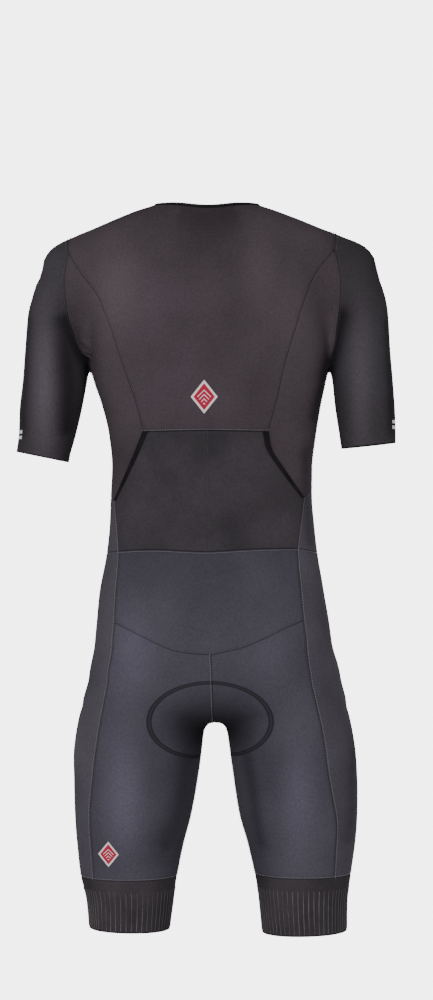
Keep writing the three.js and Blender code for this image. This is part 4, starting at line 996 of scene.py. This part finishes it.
def gripper_row(side, ring, drop):
    """The ring moved down the leg; drop is 0 at the seam and 1 at the hem."""
    curves, s = leg_curves[side], PLACES[side]
    middle = np.stack([curves["x"](ring[:, 2]), curves["y"](ring[:, 2]), ring[:, 2]], 1)
    away = ring - middle
    across = np.clip(away[:, 0] * SIGN[side] / curves["half"](ring[:, 2]), -1, 1)
    outer, inner = s["hem"]
    hem = (outer + inner) / 2 + across * (outer - inner) / 2
    z = ring[:, 2] + (hem - ring[:, 2]) * drop
    start = np.stack([curves["x"](z), curves["y"](z), z], 1)
    away[:, 2] = 0
    return cast(start, away)


for side in SIGN:
    ring = gripper_ring(side)
    drops = [0, *(np.array(RIM_STEPS) / 75), *np.linspace(0, 1, GRIPPER_ROWS + 1)[1:]]
    grid = np.stack([ring] + [gripper_row(side, ring, drop) for drop in drops[1:]])
    cloth(f"gripper_{side}", grid, "gripper_knit", f"side_leg_{side}", closed=True,
          dip=(1, 0, 0, 0), cut_edge="top")
print("cloth pieces:", len(cloth_pieces))

# %% [markdown]
# ## Cloth finishes
#
# All the cloths are dyed stretch knits, and differ in how open, how smooth and how cool in
# tone they are. Real stitches of such a knit are about 0.5 mm wide, too fine for this picture,
# so they are drawn 1.6 mm wide, which is as fine as still shows. Each knit gets rows of small
# bumps, a slow mottle as light catches a stretched cloth unevenly, and a soft sheen.


# %% A ramp from one value to another, and a mix of two colours
def ramp(tree, value, low, high, to_low=0.0, to_high=1.0):
    made = add(tree, "ShaderNodeMapRange", {"Value": value, "From Min": low, "From Max": high,
                                            "To Min": to_low, "To Max": to_high})
    return made.outputs["Result"]


def mix(tree, share, under, over):
    """Socket 6 is the colour below and socket 7 the colour above."""
    return add(tree, "ShaderNodeMix", {0: share, 6: under, 7: over}, data_type="RGBA").outputs[2]


def maths(tree, operation, *values):
    return add(tree, "ShaderNodeMath", dict(enumerate(values)), operation=operation).outputs[0]


# %% A knit, from its colours and its scale
def knit(name, dark, light, shine, mottle_mm=60, wale_mm=1.6, bump=0.25, rough=0.75, sheen=0.02,
         sheen_hex="9a9aa6", rim_shade_hex="121113", rim_shade_mm=0.9, open_mesh=0.0, detail=None,
         rims=True):
    """Dyed stretch knit: matt, faintly ribbed, with painted highlights and painted shade."""
    material = bpy.data.materials.new(name)
    material.use_nodes = True
    tree = material.node_tree
    shader = tree.nodes["Principled BSDF"]
    shader.inputs["Roughness"].default_value = rough
    shader.inputs["Specular IOR Level"].default_value = 0.0
    shader.inputs["Sheen Weight"].default_value = sheen
    shader.inputs["Sheen Roughness"].default_value = 0.5
    shader.inputs["Sheen Tint"].default_value = colour(sheen_hex)
    place = add(tree, "ShaderNodeTexCoord")
    turn = 2 * math.pi / 20
    wale = add(tree, "ShaderNodeTexWave", {"Vector": place.outputs["UV"],
                                           "Scale": turn / (wale_mm * MM)},
               wave_type="BANDS", bands_direction="X", wave_profile="SIN")
    course = add(tree, "ShaderNodeTexWave", {"Vector": place.outputs["UV"],
                                             "Scale": turn / (1.3 * wale_mm * MM)},
                 wave_type="BANDS", bands_direction="Y", wave_profile="SIN")
    loops = maths(tree, "MULTIPLY", wale.outputs["Fac"], course.outputs["Fac"])
    slow = add(tree, "ShaderNodeTexNoise", {"Vector": place.outputs["Object"],
                                            "Scale": 1 / (mottle_mm * MM), "Detail": 3.0,
                                            "Roughness": 0.45})
    fine = add(tree, "ShaderNodeTexNoise", {"Vector": place.outputs["Object"],
                                            "Scale": 1 / (3 * MM), "Detail": 2.0})
    # Painted highlight: the colour goes towards the highlight colour where the attribute marks it
    painted_highlight = add(tree, "ShaderNodeAttribute", attribute_name="painted_highlight")
    ground = mix(tree, ramp(tree, slow.outputs["Fac"], 0.32, 0.68), colour(dark), colour(light))
    ground = mix(tree, painted_highlight.outputs["Fac"], ground, colour(shine))
    depth = maths(tree, "MULTIPLY", ramp(tree, fine.outputs["Fac"], 0.3, 0.7, 0.9, 1.1),
                  ramp(tree, loops, 0, 1, 1 - open_mesh, 1.0))
    toned = add(tree, "ShaderNodeVectorMath", {0: ground}, operation="SCALE")
    tree.links.new(depth, toned.inputs["Scale"])
    # Painted shade: darkened towards near black where the shaded attribute marks it
    painted_shade = add(tree, "ShaderNodeAttribute", attribute_name="shaded")
    base = mix(tree, ramp(tree, painted_shade.outputs["Fac"], 0.0, 1.0, 0.0, 0.88),
               toned.outputs["Vector"], colour("0c0b0d"))
    if detail:
        base = detail(tree, place.outputs["Object"], base)
    # Painted shade: a dark line along sewn seams and a darker, wider one along cut hems;
    # rims=False leaves it out
    painted_rim_shade = (("edge", rim_shade_mm, 0.75), ("hem", 2.4, 0.95)) if rims else ()
    for attribute_name, reach, strength in painted_rim_shade:
        near = add(tree, "ShaderNodeAttribute", attribute_name=attribute_name)
        base = mix(tree, ramp(tree, near.outputs["Fac"], 0.0, reach * MM, strength, 0.0), base,
                   colour(rim_shade_hex))
    tree.links.new(base, shader.inputs["Base Color"])
    relief = add(tree, "ShaderNodeBump", {"Height": maths(tree, "ADD", loops,
                                                          fine.outputs["Fac"]),
                                          "Strength": bump, "Distance": 0.3 * MM})
    tree.links.new(relief.outputs["Normal"], shader.inputs["Normal"])
    return material


# %% Marks on a cloth, placed by Object coordinates
def axes(tree, spot):
    split = add(tree, "ShaderNodeSeparateXYZ", {"Vector": spot})
    return split.outputs["X"], split.outputs["Y"], split.outputs["Z"]


def behind(tree, y):
    return maths(tree, "GREATER_THAN", y, 0.01)


def oval_reach(tree, x, z, centre, half):
    """0 at the middle of an oval and 1 on its edge; sizes in mm."""
    across = maths(tree, "DIVIDE", maths(tree, "SUBTRACT", x, centre[0] * MM), half[0] * MM)
    up = maths(tree, "DIVIDE", maths(tree, "SUBTRACT", z, centre[1] * MM), half[1] * MM)
    return maths(tree, "SQRT", maths(tree, "ADD", maths(tree, "MULTIPLY", across, across),
                                     maths(tree, "MULTIPLY", up, up)))


def pad_outline(tree, spot, base):
    """The seat pad's edge: a band of painted shade in its groove, with two fine dark stitched
    lines;
    the cloth is darker inside the oval, with painted shade towards the crotch.
    """
    x, y, z = axes(tree, spot)
    back = behind(tree, y)
    reach = oval_reach(tree, x, z, (PAD["x"], PAD["z"]), (PAD["half_width"], PAD["half_height"]))
    gap = maths(tree, "ABSOLUTE", maths(tree, "SUBTRACT", reach, 1.0))
    band = maths(tree, "MULTIPLY", ramp(tree, gap, 0.032, 0.06, 0.75, 0.0), back)
    twin = maths(tree, "ABSOLUTE", maths(tree, "SUBTRACT", gap, 0.028))
    lines = maths(tree, "MULTIPLY", ramp(tree, twin, 0.006, 0.016, 0.6, 0.0), back)
    inside = maths(tree, "MULTIPLY", ramp(tree, reach, 0.45, 1.04, 0.5, 0.0), back)
    shade = oval_reach(tree, x, z, (-9, -716), (60, 46))
    # Darker inside the oval; then painted shade towards the crotch, where the seat turns under
    base = mix(tree, inside, base, colour("1d1c1f"))
    base = mix(tree, ramp(tree, shade, 0.15, 1.0, 0.85, 0.0), base, colour("161517"))
    # Painted shade in the groove where the pad's edge draws the cloth in
    base = mix(tree, band, base, colour("232226"))
    return mix(tree, lines, base, colour("131214"))


def patch(x_mm, z_mm, half_mm):
    """A plain printed patch: a crimson lozenge in an off-white border, with two chevrons."""
    def draw(tree, spot, base):
        x, y, z = axes(tree, spot)
        across = maths(tree, "ABSOLUTE", maths(tree, "SUBTRACT", x, x_mm * MM))
        up = maths(tree, "SUBTRACT", z, z_mm * MM)
        reach = maths(tree, "DIVIDE", maths(tree, "ADD", across,
                                            maths(tree, "MULTIPLY",
                                                  maths(tree, "ABSOLUTE", up), 0.8)),
                      half_mm * MM)
        step = maths(tree, "PINGPONG", maths(tree, "ADD", up, across), 0.16 * half_mm * MM)
        chevron = maths(tree, "MULTIPLY",
                        maths(tree, "GREATER_THAN", step, 0.12 * half_mm * MM),
                        maths(tree, "LESS_THAN", reach, 0.52))
        whole = maths(tree, "MULTIPLY", maths(tree, "LESS_THAN", reach, 1.0), behind(tree, y))
        inner = maths(tree, "MULTIPLY", maths(tree, "LESS_THAN", reach, 0.8), behind(tree, y))
        base = mix(tree, whole, base, colour("b9adb0"))
        base = mix(tree, inner, base, colour("8c1f33"))
        return mix(tree, maths(tree, "MULTIPLY", chevron, inner), base, colour("b9adb0"))
    return draw


def both(first, second):
    def draw(tree, spot, base):
        return second(tree, spot, first(tree, spot, base))
    return draw


def cuff_dashes(x_mm, z_mm):
    """Two short off-white dashes near the cuff, on the outer side."""
    def draw(tree, spot, base):
        x, y, z = axes(tree, spot)
        out = maths(tree, "GREATER_THAN", maths(tree, "MULTIPLY", x, math.copysign(1, x_mm)),
                    abs(x_mm) * MM)
        near = maths(tree, "LESS_THAN", maths(tree, "ABSOLUTE", maths(tree, "SUBTRACT", z,
                                                                      z_mm * MM)), 6 * MM)
        bars = maths(tree, "GREATER_THAN", maths(tree, "PINGPONG",
                                                 maths(tree, "SUBTRACT", z, z_mm * MM),
                                                 4 * MM), 1.5 * MM)
        wide = maths(tree, "LESS_THAN", maths(tree, "ABSOLUTE", maths(tree, "SUBTRACT", y,
                                                                      12 * MM)), 15 * MM)
        mask = maths(tree, "MULTIPLY", maths(tree, "MULTIPLY", out, near),
                     maths(tree, "MULTIPLY", bars, wide))
        return mix(tree, mask, base, colour("b4b0b4"))
    return draw


# %% Make the cloths
SHEER = dict(mottle_mm=110, open_mesh=0.16, rough=0.85)
SLEEVE = dict(mottle_mm=120, rough=0.7, bump=0.15)
SHORTS = dict(mottle_mm=140, rough=0.6, bump=0.15)
PANEL = dict(mottle_mm=120, rough=0.65, bump=0.15)
SHEER_COLOURS = ("332d31", "3e373c", "453e42")
SLEEVE_COLOURS = ("2a272a", "322f33", "464147")
SHORTS_COLOURS = ("302d34", "3b3940", "46434e")
PANEL_COLOURS = ("353238", "3f3c42", "454248")
MATERIALS = {
    "sheer_knit": knit("open_mesh_polyamide_knit", *SHEER_COLOURS, **SHEER),
    "pocket_knit": knit("fine_stretch_knit", "2a272b", "373337", "3d393d", mottle_mm=90,
                        open_mesh=0.12, rough=0.85),
    "sleeve_knit": knit("smooth_polyamide_knit", *SLEEVE_COLOURS, **SLEEVE),
    "shorts_knit": knit("compressive_polyamide_knit", *SHORTS_COLOURS, **SHORTS),
    "side_panel_knit": knit("plain_polyamide_knit", *PANEL_COLOURS, **PANEL),
    "gripper_knit": knit("ribbed_elastic_knit", "272427", "322e31", "3d383c", mottle_mm=60,
                         rough=0.8, bump=0.3),
    "elastic_binding": knit("woven_elastic", "121113", "1b191c", "242225", mottle_mm=30,
                            wale_mm=1.2),
    "zip_tape": knit("woven_zip_tape", "17171a", "202023", "28282b", mottle_mm=20, rough=0.7,
                     wale_mm=1.2),
}
MARKED = {
    "back_upper": knit("open_mesh_knit_with_patch", *SHEER_COLOURS, **SHEER,
                       detail=patch(3.5, -266, 18)),
    "back_leg_left": knit("compressive_knit_over_pad_with_patch", *SHORTS_COLOURS, **SHORTS,
                          detail=both(pad_outline, patch(132.6, -881, 14))),
    "back_leg_right": knit("compressive_knit_over_pad", *SHORTS_COLOURS, **SHORTS,
                           detail=pad_outline),
    "sleeve_left": knit("smooth_knit_with_left_dashes", *SLEEVE_COLOURS, **SLEEVE,
                        detail=cuff_dashes(240, -315)),
    "sleeve_right": knit("smooth_knit_with_right_dashes", *SLEEVE_COLOURS, **SLEEVE,
                         detail=cuff_dashes(-240, -301)),
}
for node_name, piece in cloth_pieces.items():
    piece.data.materials.append(MARKED.get(node_name) or MATERIALS[piece["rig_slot"]])
print("cloths:", len(MATERIALS), "and", len(MARKED), "with marks")

# %% Seat pad inside the seat
pad = bpy.data.objects.new("seat_pad_foam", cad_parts["seat_pad"].data.copy())
bpy.context.scene.collection.objects.link(pad)
work = bmesh.new()
work.from_mesh(pad.data)
bmesh.ops.remove_doubles(work, verts=work.verts, dist=0.02 * MM)
bmesh.ops.recalc_face_normals(work, faces=work.faces)
bmesh.ops.subdivide_edges(work, edges=work.edges, cuts=2, use_grid_fill=True)
work.to_mesh(pad.data)
work.free()
# The cloth is smoother than the coarse pad, so any spot nearer to it than 2 mm moves in.
PAD_DEPTH = 2.0
spots = np.empty(len(pad.data.vertices) * 3, np.float32)
pad.data.vertices.foreach_get("co", spots)
spots = spots.reshape(-1, 3).astype(float) / MM
onto = project(spots)
outside = outward(onto)
depth = ((onto - spots) * outside).sum(-1)
moved = np.where((depth < PAD_DEPTH)[:, None], onto - outside * PAD_DEPTH, spots)
pad.data.vertices.foreach_set("co", (moved * MM).astype(np.float32).ravel())
pad.data.update()
print("pad: moved", int((depth < PAD_DEPTH).sum()), "of", len(depth), "spots in")
pad.data.materials.clear()
pad.data.materials.append(knit("pad_cover_knit", "232326", "2c2c30", "2c2c30", mottle_mm=40,
                               rough=0.9, rims=False))
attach(pad, "suit")
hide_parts("seat_pad")
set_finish(pad, "pad_foam")


# %% [markdown]
# ## Sewing, ribs and zip
#
# The panels are joined by flat seams, sewn with thread that is a little lighter than the cloth.
# Single stitches could be set one by one, but a seam is one rule repeated: a stitch every few
# millimetres along a line. Geometry Nodes do this well. A tree turns a wire into even steps,
# sets a small grain of thread on each, and turns it along the seam. The same way lays the
# grippers' ribs and the teeth of the zip.

# %% Start and end a tree with named inputs
def start_tree(name, sizes):
    tree = bpy.data.node_groups.new(name, "GeometryNodeTree")
    tree.interface.new_socket("Geometry", in_out="INPUT", socket_type="NodeSocketGeometry")
    for title, value in sizes.items():
        made = tree.interface.new_socket(title, in_out="INPUT", socket_type="NodeSocketFloat")
        made.default_value = value
    tree.interface.new_socket("Material", in_out="INPUT", socket_type="NodeSocketMaterial")
    tree.interface.new_socket("Geometry", in_out="OUTPUT", socket_type="NodeSocketGeometry")
    return tree, add(tree, "NodeGroupInput").outputs


def end_tree(tree, geometry, material):
    real = add(tree, "GeometryNodeRealizeInstances", {"Geometry": geometry})
    painted = add(tree, "GeometryNodeSetMaterial", {"Geometry": real.outputs["Geometry"],
                                                    "Material": material})
    add(tree, "NodeGroupOutput", {"Geometry": painted.outputs["Geometry"]})


# %% A tree that sets grains along wires: stitches and zip teeth
def grain_tree(name, grain_kind, grain_sizes):
    tree, given = start_tree(name, {"Pitch": 3.6 * MM, "Length": 2.8 * MM, "Width": 0.7 * MM,
                                    "Height": 0.7 * MM})
    route = add(tree, "GeometryNodeMeshToCurve", {"Mesh": given["Geometry"]})
    even = add(tree, "GeometryNodeResampleCurve", {"Curve": route.outputs["Curve"],
                                                   "Length": given["Pitch"]}, mode="LENGTH")
    facing = add(tree, "GeometryNodeInputNamedAttribute", {"Name": "facing"},
                 data_type="FLOAT_VECTOR")
    ahead = add(tree, "FunctionNodeAlignRotationToVector",
                {"Vector": add(tree, "GeometryNodeInputTangent").outputs["Tangent"]}, axis="X")
    laid = add(tree, "FunctionNodeAlignRotationToVector",
               {"Rotation": ahead.outputs["Rotation"], "Vector": facing.outputs["Attribute"]},
               axis="Z", pivot_axis="X")
    size = add(tree, "ShaderNodeCombineXYZ", {"X": given["Length"], "Y": given["Width"],
                                              "Z": given["Height"]})
    grain = add(tree, grain_kind, grain_sizes)
    rows = add(tree, "GeometryNodeInstanceOnPoints",
               {"Points": even.outputs["Curve"], "Instance": grain.outputs["Mesh"],
                "Rotation": laid.outputs["Rotation"], "Scale": size.outputs["Vector"]})
    end_tree(tree, rows.outputs["Instances"], given["Material"])
    return tree


stitch_tree = grain_tree("stitch_rows", "GeometryNodeMeshIcoSphere", {"Radius": 0.5})
teeth_tree = grain_tree("zip_teeth", "GeometryNodeMeshCube", {"Size": (1, 1, 1)})

# %% A tree that lays a cord along wires: ribs
rib_tree, given = start_tree("raised_ribs", {"Radius": 0.7 * MM})
route = add(rib_tree, "GeometryNodeMeshToCurve", {"Mesh": given["Geometry"]})
circle = add(rib_tree, "GeometryNodeCurvePrimitiveCircle", {"Resolution": 6,
                                                            "Radius": given["Radius"]})
rounded = add(rib_tree, "GeometryNodeCurveToMesh", {"Curve": route.outputs["Curve"],
                                                    "Profile Curve": circle.outputs["Curve"],
                                                    "Fill Caps": True})
end_tree(rib_tree, rounded.outputs["Mesh"], given["Material"])
print("trees:", [tree.name for tree in bpy.data.node_groups])


# %% Grow a plain mesh from wires with a tree
def grow(name, wires, facings, tree, material, slot, body="suit", **sizes):
    wire_mesh = bpy.data.meshes.new(name + "_wire")
    starts = np.cumsum([0] + [len(wire) for wire in wires])
    edges = [(a + k, a + k + 1) for a, wire in zip(starts, wires) for k in range(len(wire) - 1)]
    wire_mesh.from_pydata((np.concatenate(wires) * MM).tolist(), edges, [])
    attribute = wire_mesh.attributes.new("facing", "FLOAT_VECTOR", "POINT")
    attribute.data.foreach_set("vector", np.concatenate(facings).astype(np.float32).ravel())
    carrier = bpy.data.objects.new(name + "_wire", wire_mesh)
    bpy.context.scene.collection.objects.link(carrier)
    modifier = carrier.modifiers.new("grow", "NODES")
    modifier.node_group = tree
    wanted = {"Material": material, **{key.title(): value * MM for key, value in sizes.items()}}
    for socket in tree.interface.items_tree:
        if socket.item_type == "SOCKET" and socket.in_out == "INPUT" and socket.name in wanted:
            modifier[socket.identifier] = wanted[socket.name]
    carrier.update_tag()
    evaluated = carrier.evaluated_get(bpy.context.evaluated_depsgraph_get())
    mesh = bpy.data.meshes.new_from_object(evaluated)
    bpy.data.objects.remove(carrier)
    mesh.name = name
    grown = bpy.data.objects.new(name, mesh)
    bpy.context.scene.collection.objects.link(grown)
    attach(grown, body)
    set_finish(grown, slot)
    mesh.calc_loop_triangles()
    print(f"{name}: {len(wires)} wires, {len(mesh.loop_triangles)} triangles")
    return grown


# %% Thread
def plain(name, base_hex, rough=0.6, metal=0.0):
    material = bpy.data.materials.new(name)
    material.use_nodes = True
    shader = material.node_tree.nodes["Principled BSDF"]
    shader.inputs["Base Color"].default_value = colour(base_hex)
    shader.inputs["Roughness"].default_value = rough
    shader.inputs["Metallic"].default_value = metal
    return material


# Spun thread, a shade or two above the cloth: it draws each seam as a fine line.
THREADS = {"light": plain("pale_grey_thread", "5c595f"), "mid": plain("grey_thread", "434045"),
           "dark": plain("black_thread", "1a191b")}


# %% Rows of stitches beside the seams
def beside(line, offset, lift=0.55):
    """A row that keeps beside a seam, and the way that it faces."""
    ahead = np.gradient(line, axis=0)
    normal = outward(line)
    aside = np.cross(normal, ahead)
    aside /= np.maximum(np.linalg.norm(aside, axis=1, keepdims=True), 1e-9)
    row = project(line + aside * offset)
    normal = outward(row)
    height = lift - SEAM_DIP * math.exp(-(offset / SEAM_DIP_WIDTH) ** 2) + pad_crown(row)
    return row + normal * height[:, None], normal


def ring(line):
    return np.vstack([line, line[:1]])


STITCHING = {"light": [], "mid": [], "dark": []}
for side, s in seams.items():
    sign = SIGN[side]
    armhole = join(s["armhole_tip"], s["armhole_back"], s["armhole_front"])
    STITCHING["mid"] += [beside(s["armhole_tip"], -2.2 * sign), beside(s["shoulder"], 2.0),
                         beside(s["side_seam"], 2.0),
                         beside(s["insert_top"], 2.0 * sign), beside(s["side_front"], 2.0),
                         beside(s["side_front"], -2.0), beside(s["inseam"], 2.0),
                         beside(s["neck_front"], 2.2 * sign), beside(s["zip_edge"], 2.2 * sign)]
    STITCHING["light"] += [beside(s["pocket_lower"], -1.8 * sign),
                           beside(join(s["side_top"], s["side_back"]), -1.8 * sign),
                           beside(ring(gripper_ring(side)), 2.0 * sign)]
    STITCHING["dark"] += [beside(join(s["side_top"], s["side_back"]), 2.2 * sign),
                          beside(armhole, 2.2 * sign), beside(armhole, -2.2 * sign),
                          beside(s["princess"], 2.0 * sign)]
    round_waist = join(s["waist_insert"], s["waist_front_side"], s["waist_front"])
    STITCHING["mid"] += [beside(round_waist, 2.2 * sign)]
STITCHING["light"] += [beside(waist_back, -2.4), beside(centre_back, -1.8)]
STITCHING["mid"] += [beside(centre_front, 2.0)]
STITCHING["dark"] += [beside(join(yoke_left, yoke_right), 2.0), beside(neck_back, 2.2)]
print("rows:", {key: len(rows) for key, rows in STITCHING.items()})

# %% Stitches on the pocket: along its top and down the middle
top_row = [row + normal * 1.3 for row, normal in [beside(pocket_top, 2.0)]]
divide = spline([on_back(1.5 - 0.3 * k, -311 - 162 * k / 6) for k in range(7)],
                np.linspace(0, 1, 60))
pocket_rows = [(top_row[0], outward(top_row[0]))]
for offset in (-1.9, 1.9):
    row, normal = beside(divide, offset)
    pocket_rows.append((row + normal * 1.1, normal))
STITCHING["light"] += pocket_rows[:1]
STITCHING["dark"] += pocket_rows[1:]
for tone, rows in STITCHING.items():
    grow(f"{tone}_stitches", [row for row, _ in rows], [normal for _, normal in rows],
         stitch_tree, THREADS[tone], "elastic_binding", pitch=3.6, length=2.9, width=0.75,
         height=0.6)

# %% Ribs of the grippers, with a painted highlight down the middle of each leg, patchy at random
RIBS = 60
rib_material = plain("rib_of_elastic_knit", "3a3639", rough=0.7)
rib_tree_nodes = rib_material.node_tree
where = add(rib_tree_nodes, "ShaderNodeTexCoord")
patchy = add(rib_tree_nodes, "ShaderNodeTexNoise", {"Vector": where.outputs["Object"],
                                                    "Scale": 1 / (22 * MM), "Detail": 1.0})
side_to_side = axes(rib_tree_nodes, where.outputs["Object"])[0]
off_middle = maths(rib_tree_nodes, "MINIMUM", *[
    maths(rib_tree_nodes, "ABSOLUTE", maths(rib_tree_nodes, "SUBTRACT", side_to_side, x * MM))
    for x in (112, -127)])
# Painted highlight: lighter in random patches within 24 to 48 mm of each leg's middle
patchy_painted_highlight = maths(rib_tree_nodes, "MULTIPLY", ramp(rib_tree_nodes, patchy.outputs["Fac"], 0.36, 0.62),
               ramp(rib_tree_nodes, off_middle, 24 * MM, 48 * MM, 1.0, 0.0))
rib_tone = mix(rib_tree_nodes, patchy_painted_highlight, colour("2c292c"), colour("4c484f"))
rib_tree_nodes.links.new(rib_tone,
                         rib_tree_nodes.nodes["Principled BSDF"].inputs["Base Color"])
for side in SIGN:
    seam_ring = gripper_ring(side)
    even_ring = refine(ring(seam_ring), np.linspace(0, len(seam_ring), RIBS + 1)[:-1])
    lines = np.stack([gripper_row(side, even_ring, drop)
                      for drop in np.linspace(0.22, 0.965, 12)], 1)
    normals = outward(lines)
    grow(f"ribs_{side}", list(lines + normals * 0.15), list(normals), rib_tree, rib_material,
         "gripper_knit", radius=0.5)

# %% Teeth of the zip
zip_middle = (left["zip_edge"] + right["zip_edge"]) / 2
zip_middle = zip_middle[(zip_middle[:, 2] > -466) & (zip_middle[:, 2] < -76)]
zip_middle = project(zip_middle)
tooth_rows = [beside(zip_middle, offset, lift=0.9) for offset in (-0.9, 0.9)]
grow("zip_teeth", [tooth_rows[0][0], tooth_rows[1][0][1:]],
     [tooth_rows[0][1], tooth_rows[1][1][1:]], teeth_tree,
     plain("black_polyamide_teeth", "202023", rough=0.4), "zip_tape", pitch=2.2, length=1.1,
     width=2.0, height=0.9)

# %% Metal of the slider and the pull
# Enamelled zinc: smooth and slightly glossy, so it shows as hardware among all the cloth.
enamel = plain("black_enamelled_zinc", "1b1b1d", rough=0.35, metal=0.6)
for node_name in ("zip_slider", "zip_pull"):
    metal_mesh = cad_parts[node_name].data
    metal_mesh.materials.clear()
    metal_mesh.materials.append(enamel)

# %% Finish
print("triangles:", sum(len(o.data.loop_triangles) or 2 * len(o.data.polygons)
                        for o in cloth_pieces.values()))
